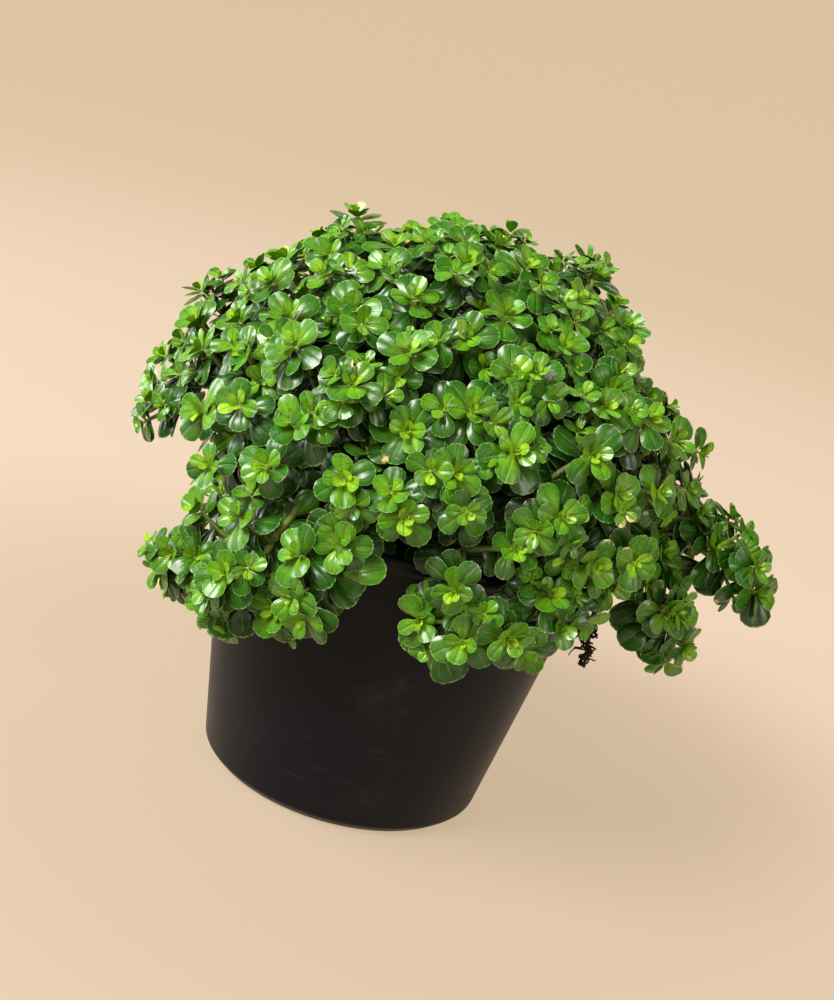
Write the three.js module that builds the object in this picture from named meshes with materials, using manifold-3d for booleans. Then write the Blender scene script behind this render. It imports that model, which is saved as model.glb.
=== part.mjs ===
// A potted Pilea depressa: a tapered nursery pot of dark plastic, the potting mix that fills it, and a
// mound of small-leaved shoots that root in the mix, with longer shoots that spill over the rim.
//
// Millimetres, +Z up. The pot stands on z = 0 with its axis on the Z axis, and the plant is looked at
// from -Y. Angles about the axis are degrees anticlockwise from +X, so -90 is the front.

import * as THREE from 'three';
import { mergeVertices } from 'three/addons/utils/BufferGeometryUtils.js';
import Module from 'manifold-3d';

const wasm = await Module();
wasm.setup();

// Pot: a size of ten centimetres across the rim.
const RIM_R = 50;
const BASE_R = 36.5;
const POT_H = 76;
const WALL = 1.3;
const FLOOR = 1.8;
const LIP_H = 3.6;
const LIP_PROUD = 0.8;
const POT_SIDES = 36;
const DRAIN_HOLES = 6;
const DRAIN_R = 3.5;
const DRAIN_CIRCLE_R = 26;

// Potting mix: it fills the pot to a little under the rim.
const SOIL_TOP = 68.5;
const SOIL_BUMP = 0.9;
const SOIL_SIDES = 24;
const CLEARANCE = 0.35;

// Stems have four sides. A stem's radius is that of its corners.
const TRUNK_R = 1.35;
const ARM_R = 1.05;
const TIP_R = 0.75;
const BUD_H = 1.1;
const ROOT_DEPTH = 8;
const ROOT_RISE = 2;
const HOLE_DEPTH = ROOT_DEPTH + CLEARANCE;

// Crown: the shoots end near a ball about the middle of the rim. The upper ones stand on the heart,
// which is the clump of stems and old leaves in the middle, and the lower ones root in the mix.
const CROWN_CENTRE = new THREE.Vector3(0, 0, 78);
const CROWN_R = 66;
const CROWN_UNEVEN = 2.5;
const CROWN_LOWEST = 0.1;
const HEART_LOWEST = 0.6;
const HEART_ROSETTES = 52;
const HEART_STEM_FROM = 41;
const CROWN_SHOOTS = 22;
const CROWN_TURN = 54;
const CROWN_ROOTS = [33, 41];
const FORK_AT = 0.66;
const FORK_RISE = 3;
const FORK_H = 2;
const ARM_SPREAD = 9.8;
const ARM_UNEVEN = 2.5;
const GOLDEN_ANGLE = 137.508;
const TOWARDS_LIGHT = 0.06;

// Where the crown stands out, or back: [angle, elevation, how far, over how many degrees it fades].
const LEADERS = [
  [180, 5, 7, 10],
  [180, 26, 9, 9],
  [180, 40, -2, 9],
  [180, 61, 6, 8],
  [180, 75, -3, 8],
  [0, 77, -5, 7],
  [0, 69, 6, 6],
  [0, 52, 3, 6],
  [0, 39, -8, 12],
  [0, 18, 3, 9],
];

// The heart's outline as [radius, height], from its foot in the mix to its top.
const HEART_FOOT_R = 12;
const HEART_SIDES = 12;
const HEART_OUTLINE = [[12, 69], [26, 79], [34, 90], [36, 101], [32, 112], [22, 121], [10, 126]];
const HEART_TOP = 127;

// Leaves stand in crosses of four that end each stem, an outer pair and a steeper inner pair.
const CROSS_H = 1.3;
const OUTER_LEAF = 9.8;
const INNER_LEAF = 8;
const LEAF_WIDTH = 0.9;
const OUTER_PITCH = 14;
const INNER_PITCH = 40;
const TRAIL_LEAF = 9;
const TRAIL_PITCH = 8;
const TRAIL_SPACING = 9;

const UP = new THREE.Vector3(0, 0, 1);
const rad = THREE.MathUtils.degToRad;

// A seeded draw between two values. Each shoot has a series of its own.
function seeded(seed) {
  let state = (seed * 7919 + 104729) % 2147483647;
  const next = () => {
    state = (state * 16807) % 2147483647;
    return state / 2147483647;
  };
  next();
  next();
  return (low, high) => low + (high - low) * next();
}

// A point at an angle about the pot's axis, a distance from it and a height.
function around(angle, radius, z) {
  return new THREE.Vector3(radius * Math.cos(rad(angle)), radius * Math.sin(rad(angle)), z);
}

// The i-th of n directions spread evenly over the ball between two heights, as sunflower seeds are.
function spread(i, n, highest, lowest) {
  const sine = highest - ((i + 0.5) / n) * (highest - lowest);
  return around(i * GOLDEN_ANGLE + CROWN_TURN, Math.sqrt(1 - sine * sine), sine);
}

// A place on the crown in a direction, some way above or below its even surface.
function onCrown(out, above) {
  const rise = LEADERS.map(([angle, elevation, height, width]) => {
    const leader = around(angle, Math.cos(rad(elevation)), Math.sin(rad(elevation)));
    return height * Math.exp(-((out.angleTo(leader) / rad(width)) ** 2));
  });
  const reach = rise.reduce((sum, height) => sum + height, CROWN_R + above);
  return CROWN_CENTRE.clone().addScaledVector(out, reach);
}

// Solids from geometry and back, for the cuts and for telling whether two pieces touch.
function solidOf(geometry) {
  const bare = geometry.clone();
  bare.deleteAttribute('normal');
  bare.deleteAttribute('uv');
  const merged = mergeVertices(bare, 1e-3);
  return new wasm.Manifold(new wasm.Mesh({
    numProp: 3,
    vertProperties: merged.attributes.position.array,
    triVerts: new Uint32Array(merged.index.array),
  }));
}

function geometryOf(solid) {
  const mesh = solid.getMesh();
  const geometry = new THREE.BufferGeometry();
  geometry.setAttribute('position', new THREE.BufferAttribute(mesh.vertProperties, 3));
  geometry.setIndex(new THREE.BufferAttribute(mesh.triVerts, 1));
  return geometry;
}

function geometryFrom(points, faces) {
  const geometry = new THREE.BufferGeometry().setFromPoints(points);
  geometry.setIndex(faces.flat());
  return geometry;
}

function boxOf(solid) {
  const { min, max } = solid.boundingBox();
  return new THREE.Box3(new THREE.Vector3(...min), new THREE.Vector3(...max));
}

// A solid turned about the Z axis from a profile of [radius, height], from the axis and back to it.
function turned(profile, sides) {
  const points = profile.map(([r, z]) => new THREE.Vector2(r, z));
  return new THREE.LatheGeometry(points, sides).rotateX(Math.PI / 2);
}

// An upright drill with flat sides, which reaches equally far above and below its point.
function drillAt(point, radius, depth, sides, turn) {
  const drill = new THREE.CylinderGeometry(radius, radius, 2 * depth, sides).rotateX(Math.PI / 2);
  return solidOf(drill.rotateZ(turn).translate(point.x, point.y, point.z));
}

// Radius of the pot's outer wall at a height, without the lip.
function wallRadius(z) {
  return BASE_R + ((RIM_R - LIP_PROUD - BASE_R) * z) / POT_H;
}

function potSolid() {
  const lipFoot = POT_H - LIP_H;
  let pot = solidOf(turned([
    [0, 0],
    [BASE_R - 2.2, 0],
    [wallRadius(2.4), 2.4],
    [wallRadius(lipFoot), lipFoot],
    [RIM_R - 0.15, lipFoot + 0.7],
    [RIM_R, POT_H - 0.8],
    [RIM_R - 0.8, POT_H],
    [RIM_R - LIP_PROUD - WALL + 0.4, POT_H],
    [wallRadius(lipFoot) - WALL, lipFoot],
    [wallRadius(FLOOR + 2) - WALL, FLOOR + 2],
    [wallRadius(FLOOR) - WALL - 1.6, FLOOR],
    [0, FLOOR],
  ], POT_SIDES));
  for (let i = 0; i < DRAIN_HOLES; i++) {
    const centre = around((360 / DRAIN_HOLES) * (i + 0.5), DRAIN_CIRCLE_R, 0);
    pot = pot.subtract(drillAt(centre, DRAIN_R, 2 * FLOOR, 8, 0));
  }
  return pot;
}

// The mix has an uneven top, a plain square hole for each stem and a round one for the heart's foot.
function soilSolid(stemHoles) {
  const inner = (z) => wallRadius(z) - WALL - CLEARANCE;
  const bottom = FLOOR + CLEARANCE;
  const heap = turned([
    [0, bottom],
    [inner(bottom) - 2, bottom],
    [inner(FLOOR + 2.4), FLOOR + 2.4],
    [inner(SOIL_TOP - 1), SOIL_TOP - 1],
    [33, SOIL_TOP],
    [17, SOIL_TOP],
    [0, SOIL_TOP],
  ], SOIL_SIDES);
  const at = heap.getAttribute('position');
  for (let i = 0; i < at.count; i++) {
    if (at.getZ(i) < SOIL_TOP - 0.5) continue;
    const wave = Math.sin(at.getX(i) * 0.31 + 1) * Math.cos(at.getY(i) * 0.27);
    const ripple = Math.sin(at.getX(i) * 0.13 - at.getY(i) * 0.37);
    at.setZ(i, SOIL_TOP + SOIL_BUMP * (wave + 0.6 * ripple));
  }
  const footHole = drillAt(around(0, 0, SOIL_TOP), HEART_FOOT_R + CLEARANCE, HOLE_DEPTH, HEART_SIDES, 0);
  let soil = solidOf(heap).subtract(footHole);
  for (const { foot, turn } of stemHoles) {
    const across = TRUNK_R + CLEARANCE * Math.SQRT2;
    soil = soil.subtract(drillAt(foot, across, HOLE_DEPTH, 4, turn + Math.PI / 4));
  }
  return soil;
}

function heartCore() {
  const low = SOIL_TOP - ROOT_DEPTH;
  const profile = [[0, low], [HEART_FOOT_R, low], ...HEART_OUTLINE, [0, HEART_TOP]];
  return solidOf(turned(profile, HEART_SIDES));
}

// A stem's curve: it leaves its start one way and arrives at its end another. Each pull is how far it
// keeps to that way.
function stemCurve(start, leaving, pull, end, arriving, endPull) {
  return new THREE.CubicBezierCurve3(
    start,
    start.clone().addScaledVector(leaving, pull),
    end.clone().addScaledVector(arriving, -endPull),
    end,
  );
}

// The closed surface of one leafy shoot. It is grown ring by ring: a ring is four corners about the
// stem, a band of wall joins two rings by four quads, and a quad may carry a leaf or a side stem.
// Side 0 of a band faces the ring's u, side 1 its v, and sides 2 and 3 the other way.
class Shoot {
  constructor(node) {
    this.node = node;
    this.points = [];
    this.faces = [];
  }

  point(p) {
    this.points.push(p.clone());
    return this.points.length - 1;
  }

  ring(centre, u, v, radius) {
    return [45, 135, 225, 315].map((angle) => this.point(
      centre.clone()
        .addScaledVector(u, radius * Math.cos(rad(angle)))
        .addScaledVector(v, radius * Math.sin(rad(angle))),
    ));
  }

  // The quad on one side of a band, anticlockwise from outside: lower left, lower right, upper two.
  quad(lower, upper, side) {
    const left = (side + 3) % 4;
    return [lower[left], lower[side], upper[side], upper[left]];
  }

  close([a, b, c, d]) {
    this.faces.push([a, b, c], [a, c, d]);
  }

  centre(corners) {
    const sum = new THREE.Vector3();
    corners.forEach((i) => sum.add(this.points[i]));
    return sum.divideScalar(corners.length);
  }

  solid() {
    return solidOf(geometryFrom(this.points, this.faces));
  }
}

// What stands in the way of a leaf: the stems and leaves that are placed, the pot, the mix, the heart.
const obstacles = [];
function addObstacle(solid, node, stem) {
  obstacles.push({ solid, node, stem, box: boxOf(solid) });
}

const leafSites = [];
const stemHoles = [];
let stemCount = 0;

// Grows a stem along a curve from a first ring. Stops are distances along it where the stem has a
// ring. A station is a short band at a distance along the stem that carries leaves or side stems on
// some of its sides. Returns the last ring and the direction that its side 0 faces.
function growStem(shoot, curve, first, u, { from, to, turn = 0, stations = [], stops = [], tip = true }) {
  stemCount += 1;
  const id = stemCount;
  const length = curve.getLength();
  const distances = [...stops, ...stations.flatMap((s) => [s.at, s.at + CROSS_H])].sort((a, b) => a - b);
  const side = u.clone();
  const sleeve = new Shoot('sleeve');
  let sleeveLower = sleeve.ring(curve.getPointAt(0), u, curve.getTangentAt(0).cross(u), from + CLEARANCE);
  sleeve.close([...sleeveLower].reverse());
  let lower = first;
  let here = 0;
  for (const s of distances) {
    const centre = curve.getPointAt(Math.min(1, s / length));
    const along = curve.getTangentAt(Math.min(1, s / length));
    side.applyAxisAngle(along, (turn * (s - here)) / length);
    side.addScaledVector(along, -side.dot(along)).normalize();
    const v = along.clone().cross(side);
    const radius = from + ((to - from) * s) / length;
    const upper = shoot.ring(centre, side, v, radius);
    const sleeveUpper = sleeve.ring(centre, side, v, radius + CLEARANCE);
    const station = stations.find(({ at }) => at === here);
    for (let k = 0; k < 4; k++) {
      const quad = shoot.quad(lower, upper, k);
      if (!station || !station.sides.includes(k)) {
        shoot.close(quad);
        continue;
      }
      const out = k % 2 ? v.clone() : side.clone();
      if (k > 1) out.negate();
      station.carry({ shoot, stem: id, quad, side: k, out, up: along.clone() });
    }
    for (let k = 0; k < 4; k++) sleeve.close(sleeve.quad(sleeveLower, sleeveUpper, k));
    lower = upper;
    sleeveLower = sleeveUpper;
    here = s;
  }
  sleeve.close(sleeveLower);
  addObstacle(sleeve.solid(), shoot.node, id);
  if (tip) {
    const end = shoot.point(curve.getPointAt(1).addScaledVector(curve.getTangentAt(1), BUD_H));
    for (let k = 0; k < 4; k++) shoot.faces.push([lower[(k + 3) % 4], lower[k], end]);
  }
  return { ring: lower, u: side.clone() };
}

function leafOn(site, length, pitch, rank, draw) {
  leafSites.push({ ...site, length, pitch: pitch + draw(-6, 6), yaw: draw(-9, 9), rank });
}

// The cross of four leaves that ends a stem of this length.
function leafCross(length, size, draw) {
  return {
    at: length - CROSS_H,
    sides: [0, 1, 2, 3],
    carry: (site) => {
      if (site.side % 2) leafOn(site, INNER_LEAF * size, INNER_PITCH, 1, draw);
      else leafOn(site, OUTER_LEAF * size, OUTER_PITCH, 0, draw);
    },
  };
}

// A short stem that leaves a station's quad and ends in a cross. Its first ring is the quad itself,
// turned so that the new stem's v is the old stem's direction.
function growSideStem(site, tip, axis, size, draw) {
  const [lowerLeft, lowerRight, upperRight, upperLeft] = site.quad;
  const start = site.shoot.centre(site.quad);
  const reach = start.distanceTo(tip);
  const leaving = site.out.clone().addScaledVector(site.up, 0.5);
  const curve = stemCurve(start, leaving, reach * 0.25, tip, axis, reach * 0.35);
  const length = curve.getLength();
  const u = site.up.clone().cross(site.out);
  const first = [upperRight, upperLeft, lowerLeft, lowerRight];
  growStem(site.shoot, curve, first, u, {
    from: ARM_R,
    to: TIP_R,
    turn: draw(-0.7, 0.7),
    stops: [length * 0.45],
    stations: [leafCross(length, size, draw)],
  });
}

// The part of a shoot that stands in its hole in the mix, up to a ring just above it.
function rootStem(shoot, foot, u) {
  const v = UP.clone().cross(u);
  const high = foot.clone().setZ(SOIL_TOP + ROOT_RISE);
  const bottom = shoot.ring(foot.clone().setZ(SOIL_TOP - ROOT_DEPTH), u, v, TRUNK_R);
  const top = shoot.ring(high, u, v, TRUNK_R);
  shoot.close([...bottom].reverse());
  for (let k = 0; k < 4; k++) shoot.close(shoot.quad(bottom, top, k));
  stemHoles.push({ foot, turn: Math.atan2(u.y, u.x) });
  return { ring: top, start: high };
}

// The direction that a cross on the crown faces: away from the ball's middle and a little upward.
function facing(tip) {
  return tip.clone().sub(CROWN_CENTRE).normalize().lerp(UP, TOWARDS_LIGHT).normalize();
}

// One of the crosses that stand on the heart, on a stem whose foot is sunk in it.
function heartShoot(i) {
  const draw = seeded(i + 101);
  const out = spread(i, HEART_ROSETTES, 1, HEART_LOWEST);
  const tip = onCrown(out, draw(-CROWN_UNEVEN, CROWN_UNEVEN));
  const start = CROWN_CENTRE.clone().addScaledVector(out, HEART_STEM_FROM);
  const curve = stemCurve(start, out, 7, tip, facing(tip), 8);
  const shoot = new Shoot('crown_heart');
  const u = around(draw(0, 180), 1, 0);
  u.addScaledVector(out, -u.dot(out)).normalize();
  const first = shoot.ring(start, u, out.clone().cross(u), ARM_R);
  shoot.close([...first].reverse());
  const length = curve.getLength();
  growStem(shoot, curve, first, u, {
    from: ARM_R,
    to: TIP_R,
    turn: draw(-0.5, 0.5),
    stops: [1],
    stations: [leafCross(length, draw(0.9, 1.06), draw)],
  });
  return shoot;
}

// A crown shoot: one stem that forks into three, each fork ending in a cross on the crown.
function crownShoot(i) {
  const draw = seeded(i + 1);
  const out = spread(i, CROWN_SHOOTS, HEART_LOWEST - 0.04, CROWN_LOWEST);
  const angle = THREE.MathUtils.radToDeg(Math.atan2(out.y, out.x));
  const across = around(angle + 90, 1, 0);
  const along = out.clone().cross(across);
  const middle = onCrown(out, draw(-CROWN_UNEVEN, CROWN_UNEVEN));
  const start = draw(0, 120);
  const tips = [0, 120, 240].map((step) => {
    const turn = rad(start + step + draw(-12, 12));
    const reach = ARM_SPREAD * draw(0.88, 1.12);
    return middle.clone()
      .addScaledVector(across, reach * Math.cos(turn))
      .addScaledVector(along, reach * Math.sin(turn))
      .addScaledVector(out, draw(-ARM_UNEVEN, ARM_UNEVEN));
  });
  const shoot = new Shoot(`crown_shoot_${String(i + 1).padStart(2, '0')}`);
  const foot = around(angle, THREE.MathUtils.lerp(...CROWN_ROOTS, i / CROWN_SHOOTS), SOIL_TOP);
  const fork = foot.clone().lerp(middle, FORK_AT).addScaledVector(UP, FORK_RISE);
  const heading = middle.clone().sub(fork).normalize().lerp(UP, 0.15).normalize();

  // The last band's sides 0 and 2 face the second and third tips.
  const u = tips[1].clone().sub(tips[2]);
  u.addScaledVector(heading, -u.dot(heading)).normalize();
  const rootU = u.clone().setZ(0).normalize();
  const { ring, start: from } = rootStem(shoot, foot, rootU);
  const trunk = stemCurve(from, UP, 9, fork, heading, 0.3 * from.distanceTo(fork));
  const length = trunk.getLength();
  const forks = {
    at: length - FORK_H,
    sides: [0, 2],
    carry: (site) => {
      const tip = site.out.dot(u) > 0 ? tips[1] : tips[2];
      growSideStem(site, tip, facing(tip), draw(0.9, 1.06), draw);
    },
  };
  const end = growStem(shoot, trunk, ring, rootU, {
    from: TRUNK_R, to: ARM_R, stops: [length * 0.35, length * 0.7, length], stations: [forks], tip: false,
  });
  const reach = fork.distanceTo(tips[0]);
  const top = stemCurve(fork, heading, reach * 0.3, tips[0], facing(tips[0]), reach * 0.35);
  const topLength = top.getLength();
  growStem(shoot, top, end.ring, end.u, {
    from: ARM_R,
    to: TIP_R,
    turn: draw(-0.7, 0.7),
    stops: [topLength * 0.5],
    stations: [leafCross(topLength, 1, draw)],
  });
  return shoot;
}

// Shoots that trail over the rim. A route is points of [angle, radius, height] after the root. Each
// carries pairs of leaves along its free part, and side stems at the pairs that are named.
const TRAIL_ROOT_R = 42;
const TRAIL_FREE_FROM = 0.36;
const TRAIL_END = 5;
const TRAIL_ARM = 8.5;
const TRAILS = [
  {
    name: 'left_spill_far',
    root: -131,
    route: [[-130, 50, 80], [-133, 56, 66], [-140, 59, 57], [-148, 59, 51]],
    arms: [1, 2],
  },
  {
    name: 'left_spill_near',
    root: -117,
    route: [[-116, 50, 83], [-117, 59, 74], [-121, 60, 62], [-129, 61, 53]],
    arms: [1, 2],
  },
  {
    name: 'left_spill_front',
    root: -103,
    route: [[-102, 49, 82], [-102, 57, 74], [-104, 59, 66], [-112, 60, 59]],
    arms: [1],
  },
  {
    name: 'front_creeper',
    root: -46,
    route: [[-44, 49, 82], [-47, 56.5, 74], [-62, 57.5, 68.5], [-81, 57, 66]],
    arms: [1, 2],
  },
  {
    name: 'right_low',
    root: -20,
    route: [[-22, 50, 82], [-23, 59, 77], [-21, 68, 71], [-18, 75, 66]],
    arms: [1, 2],
  },
  {
    name: 'right_reacher',
    root: -2,
    route: [[-4, 48, 84], [-5, 62, 87], [-6, 76, 85], [-7, 88, 80]],
    arms: [1, 2],
  },
  {
    name: 'back_spill_right',
    root: 48,
    route: [[50, 50, 83], [54, 60, 74], [60, 64, 63], [66, 64, 53]],
    arms: [1, 2],
  },
  {
    name: 'back_spill_middle',
    root: 98,
    route: [[100, 50, 83], [104, 60, 74], [108, 66, 65], [110, 70, 58]],
    arms: [1],
  },
  {
    name: 'back_spill_left',
    root: 140,
    route: [[142, 50, 83], [144, 60, 75], [148, 64, 66], [152, 64, 59]],
    arms: [1, 2],
  },
];

function trailingShoot({ name, root, route, arms }, i) {
  const draw = seeded(i + 201);
  const shoot = new Shoot(name);
  const foot = around(root, TRAIL_ROOT_R, SOIL_TOP);
  const u = around(root, 1, 0);
  const { ring, start } = rootStem(shoot, foot, u);
  const points = [start, ...route.map((p) => around(...p))];
  const curve = new THREE.CatmullRomCurve3(points, false, 'catmullrom', 0.5);
  const length = curve.getLength();
  const free = length * TRAIL_FREE_FROM;
  const pairs = Math.floor((length - free - TRAIL_END) / TRAIL_SPACING);
  const stations = [leafCross(length, 0.95, draw)];
  for (let k = 0; k < pairs; k++) {
    stations.push({
      at: free + (k * (length - free - TRAIL_END)) / pairs,
      sides: k % 2 ? [1, 3] : [0, 2],
      carry: (site) => {
        const away = site.shoot.centre(site.quad);
        const clear = away.clone().setZ(0).normalize().lerp(UP, 0.3);
        if (arms.includes(k) && site.out.dot(clear) > 0) {
          const axis = site.out.clone().lerp(clear, 0.5).normalize();
          growSideStem(site, away.clone().addScaledVector(axis, TRAIL_ARM), axis, 0.85, draw);
        } else {
          leafOn(site, TRAIL_LEAF, TRAIL_PITCH, 0, draw);
        }
      },
    });
  }
  growStem(shoot, curve, ring, u, {
    from: TRUNK_R, to: TIP_R, stops: [length * 0.12, length * 0.24], stations,
  });
  return shoot;
}

// A dead strand of root that hangs over the rim, dry and crooked, with short spurs.
const STRAND_ROOT = -32;
const STRAND_R = 0.6;
const STRAND_ROUTE = [
  [-32, 43, 77],
  [-32, 48, 81],
  [-32, 54, 77],
  [-32, 57, 70],
  [-30, 56.5, 65],
  [-31, 58, 60],
  [-29, 58, 55],
];
const STRAND_STOPS = 9;
const SPURS = [0.52, 0.66, 0.8];
const SPUR_LENGTH = 2.6;

function dryRoot() {
  const shoot = new Shoot('dry_root');
  const foot = around(STRAND_ROOT, TRAIL_ROOT_R, SOIL_TOP);
  const u = around(STRAND_ROOT, 1, 0);
  const { ring, start } = rootStem(shoot, foot, u);
  const points = [start, ...STRAND_ROUTE.map((p) => around(...p))];
  const curve = new THREE.CatmullRomCurve3(points, false, 'catmullrom', 0.5);
  const length = curve.getLength();
  const stations = SPURS.map((share, k) => ({
    at: length * share,
    sides: [k % 2 ? 1 : 3],
    carry: ({ quad, out }) => {
      const droop = out.clone().addScaledVector(UP, -0.5);
      const point = shoot.point(shoot.centre(quad).addScaledVector(droop, SPUR_LENGTH));
      for (let c = 0; c < 4; c++) shoot.faces.push([quad[c], quad[(c + 1) % 4], point]);
    },
  }));
  const stops = Array.from({ length: STRAND_STOPS }, (_, k) => (length * (k + 1)) / (STRAND_STOPS + 1));
  growStem(shoot, curve, ring, u, { from: TRUNK_R, to: STRAND_R, turn: 3, stops, stations });
  return shoot;
}

// A leaf is a fleshy blade with a wedge-shaped foot, widest past its middle and round at the end. Its
// outline is in fractions of its length along it, across it and out of its plane. The outer leaves
// have three blunt teeth at the end.
const TOOTHED_RIM = [
  [0.42, -0.40, 0.03],
  [0.80, -0.47, 0],
  [0.87, -0.24, 0.02],
  [1, 0, -0.05],
  [0.87, 0.24, 0.02],
  [0.80, 0.47, 0],
  [0.42, 0.40, 0.03],
];
const PLAIN_RIM = [
  [0.42, -0.40, 0.03],
  [0.82, -0.43, 0],
  [1, 0, -0.03],
  [0.82, 0.43, 0],
  [0.42, 0.40, 0.03],
];
const LEAF_TOP = [0.62, 0, 0.1];
const LEAF_UNDER = [0.62, 0, -0.06];

// Places of a leaf's rim, top and underside. Swell makes it larger on all sides, for testing.
function leafPoints(site, { bend, yaw, scale }, swell) {
  const pitch = rad(site.pitch + bend);
  const out = site.out.clone().applyAxisAngle(site.up, rad(site.yaw + yaw));
  const along = out.clone().multiplyScalar(Math.cos(pitch)).addScaledVector(site.up, Math.sin(pitch));
  const normal = site.up.clone().multiplyScalar(Math.cos(pitch)).addScaledVector(out, -Math.sin(pitch));
  const across = normal.clone().cross(along);
  const foot = site.shoot.centre(site.quad);
  const length = site.length * scale;
  const place = ([a, b, c], lift) => foot.clone()
    .addScaledVector(along, a * (length + swell))
    .addScaledVector(across, b * LEAF_WIDTH * (length + 2 * swell))
    .addScaledVector(normal, c * length + lift);
  return {
    rim: (site.rank ? PLAIN_RIM : TOOTHED_RIM).map((p) => place(p, 0)),
    top: place(LEAF_TOP, swell),
    under: place(LEAF_UNDER, -swell),
    along,
  };
}

// The faces of a leaf that stands on a quad of four corner indices. They close over the quad.
function leafFaces([lowerLeft, lowerRight, upperRight, upperLeft], rim, top, under) {
  const faces = [];
  const upper = [upperLeft, ...rim, upperRight];
  const lower = [lowerLeft, ...rim, lowerRight];
  for (let k = 0; k < upper.length; k++) {
    const next = (k + 1) % upper.length;
    faces.push([top, upper[k], upper[next]]);
    faces.push([under, lower[next], lower[k]]);
  }
  faces.push([rim[0], upperLeft, lowerLeft]);
  faces.push([upperRight, rim[rim.length - 1], lowerRight]);
  return faces;
}

// A leaf by itself as a solid, its foot moved a little off the stem.
function leafSolid(site, parts, offset) {
  const points = site.quad.map((i) => site.shoot.points[i].clone().addScaledVector(parts.along, offset));
  const rim = parts.rim.map((p) => points.push(p) - 1);
  const top = points.push(parts.top) - 1;
  const under = points.push(parts.under) - 1;
  const faces = leafFaces([0, 1, 2, 3], rim, top, under);
  faces.push([0, 2, 1], [0, 3, 2]);
  return solidOf(geometryFrom(points, faces));
}

// True if a leaf that stands so touches nothing. It keeps the clearance to other nodes, and half of
// it inside its own.
function isClear(site, stance) {
  const near = leafSolid(site, leafPoints(site, stance, CLEARANCE / 2), 0.5);
  const wide = leafSolid(site, leafPoints(site, stance, CLEARANCE), CLEARANCE);
  const box = boxOf(wide);
  return !obstacles.some((o) => {
    if (!o.box.intersectsBox(box)) return false;
    const own = o.node === site.shoot.node;
    if (own && o.stem === site.stem) return false;
    return !o.solid.intersect(own ? near : wide).isEmpty();
  });
}

// True if the way from one point to another passes through a triangle. Meeting it at an end of the way
// doesn't count, because faces that share a corner do.
const TOUCH = 1e-3;
function pierces(from, to, [a, b, c]) {
  const way = to.clone().sub(from);
  const length = way.length();
  const ray = new THREE.Ray(from, way.divideScalar(length));
  const hit = ray.intersectTriangle(a, b, c, false, new THREE.Vector3());
  if (!hit) return false;
  const distance = hit.distanceTo(from);
  return distance > TOUCH && distance < length - TOUCH;
}

function crosses(one, other) {
  return [0, 1, 2].some((k) => {
    const next = (k + 1) % 3;
    return pierces(one[k], one[next], other) || pierces(other[k], other[next], one);
  });
}

// True if the faces of a leaf that stands so keep off the faces that its own shoot has already.
function isWhole({ shoot, quad }, parts) {
  const points = [...shoot.points, ...parts.rim, parts.top, parts.under];
  const first = shoot.points.length;
  const count = parts.rim.length;
  const rim = parts.rim.map((_, k) => first + k);
  const leaf = leafFaces(quad, rim, first + count, first + count + 1);
  const box = new THREE.Box3().setFromPoints([...new Set(leaf.flat())].map((i) => points[i]));
  const near = shoot.faces.filter((face) => (
    box.intersectsBox(new THREE.Box3().setFromPoints(face.map((i) => points[i])))
  ));
  return !leaf.some((face) => near.some((other) => (
    face.filter((i) => other.includes(i)).length < 2
    && crosses(face.map((i) => points[i]), other.map((i) => points[i]))
  )));
}

// A leaf that would cross something is bent, turned or made smaller until it is clear, and is left
// out where nothing helps.
const BENDS = [0, 12, -12, 24, -24, 36, -36];
const YAWS = [0, 16, -16, 30, -30];
const SCALES = [1, 0.86, 0.74, 0.62];
const STANCES = SCALES.flatMap((scale) => (
  BENDS.flatMap((bend) => YAWS.map((yaw) => ({ bend, yaw, scale })))
));

function growLeaf(site) {
  const stance = STANCES.find((s) => isWhole(site, leafPoints(site, s, 0)) && isClear(site, s));
  if (!stance) {
    site.shoot.close(site.quad);
    return;
  }
  const parts = leafPoints(site, stance, 0);
  addObstacle(leafSolid(site, parts, 0.4), site.shoot.node, 0);
  const rim = parts.rim.map((p) => site.shoot.point(p));
  const top = site.shoot.point(parts.top);
  const under = site.shoot.point(parts.under);
  site.shoot.faces.push(...leafFaces(site.quad, rim, top, under));
}

const MATERIALS = {
  pot: new THREE.MeshStandardMaterial({ color: 0x2c2c2f, roughness: 0.5, metalness: 0 }),
  soil: new THREE.MeshStandardMaterial({ color: 0x2a1d14, roughness: 0.95, metalness: 0 }),
  foliage: new THREE.MeshStandardMaterial({ color: 0x3f8f1f, roughness: 0.35, metalness: 0 }),
  dry: new THREE.MeshStandardMaterial({ color: 0x15100d, roughness: 0.8, metalness: 0 }),
};

function meshOf(name, geometry, material) {
  const mesh = new THREE.Mesh(geometry, material);
  mesh.name = name;
  return mesh;
}

// All stems are grown first, then the holes for them, then the leaves in what room is left.
const strand = dryRoot();
const trails = TRAILS.map(trailingShoot);
const heart = Array.from({ length: HEART_ROSETTES }, (_, i) => heartShoot(i));
const crown = Array.from({ length: CROWN_SHOOTS }, (_, i) => crownShoot(i));
const pot = potSolid();
const soil = soilSolid(stemHoles);
const core = heartCore();
addObstacle(pot, 'pot', 0);
addObstacle(soil, 'soil', 0);
addObstacle(core, 'crown_heart', 0);
leafSites.sort((a, b) => a.rank - b.rank).forEach(growLeaf);
const heartSolid = heart.reduce((sum, shoot) => sum.add(shoot.solid()), core);

const plant = new THREE.Group();
plant.add(meshOf('pot', geometryOf(pot), MATERIALS.pot));
plant.add(meshOf('soil', geometryOf(soil), MATERIALS.soil));
plant.add(meshOf('crown_heart', geometryOf(heartSolid), MATERIALS.foliage));
plant.add(meshOf(strand.node, geometryFrom(strand.points, strand.faces), MATERIALS.dry));
for (const shoot of [...trails, ...crown]) {
  plant.add(meshOf(shoot.node, geometryFrom(shoot.points, shoot.faces), MATERIALS.foliage));
}

export default plant;
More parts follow.
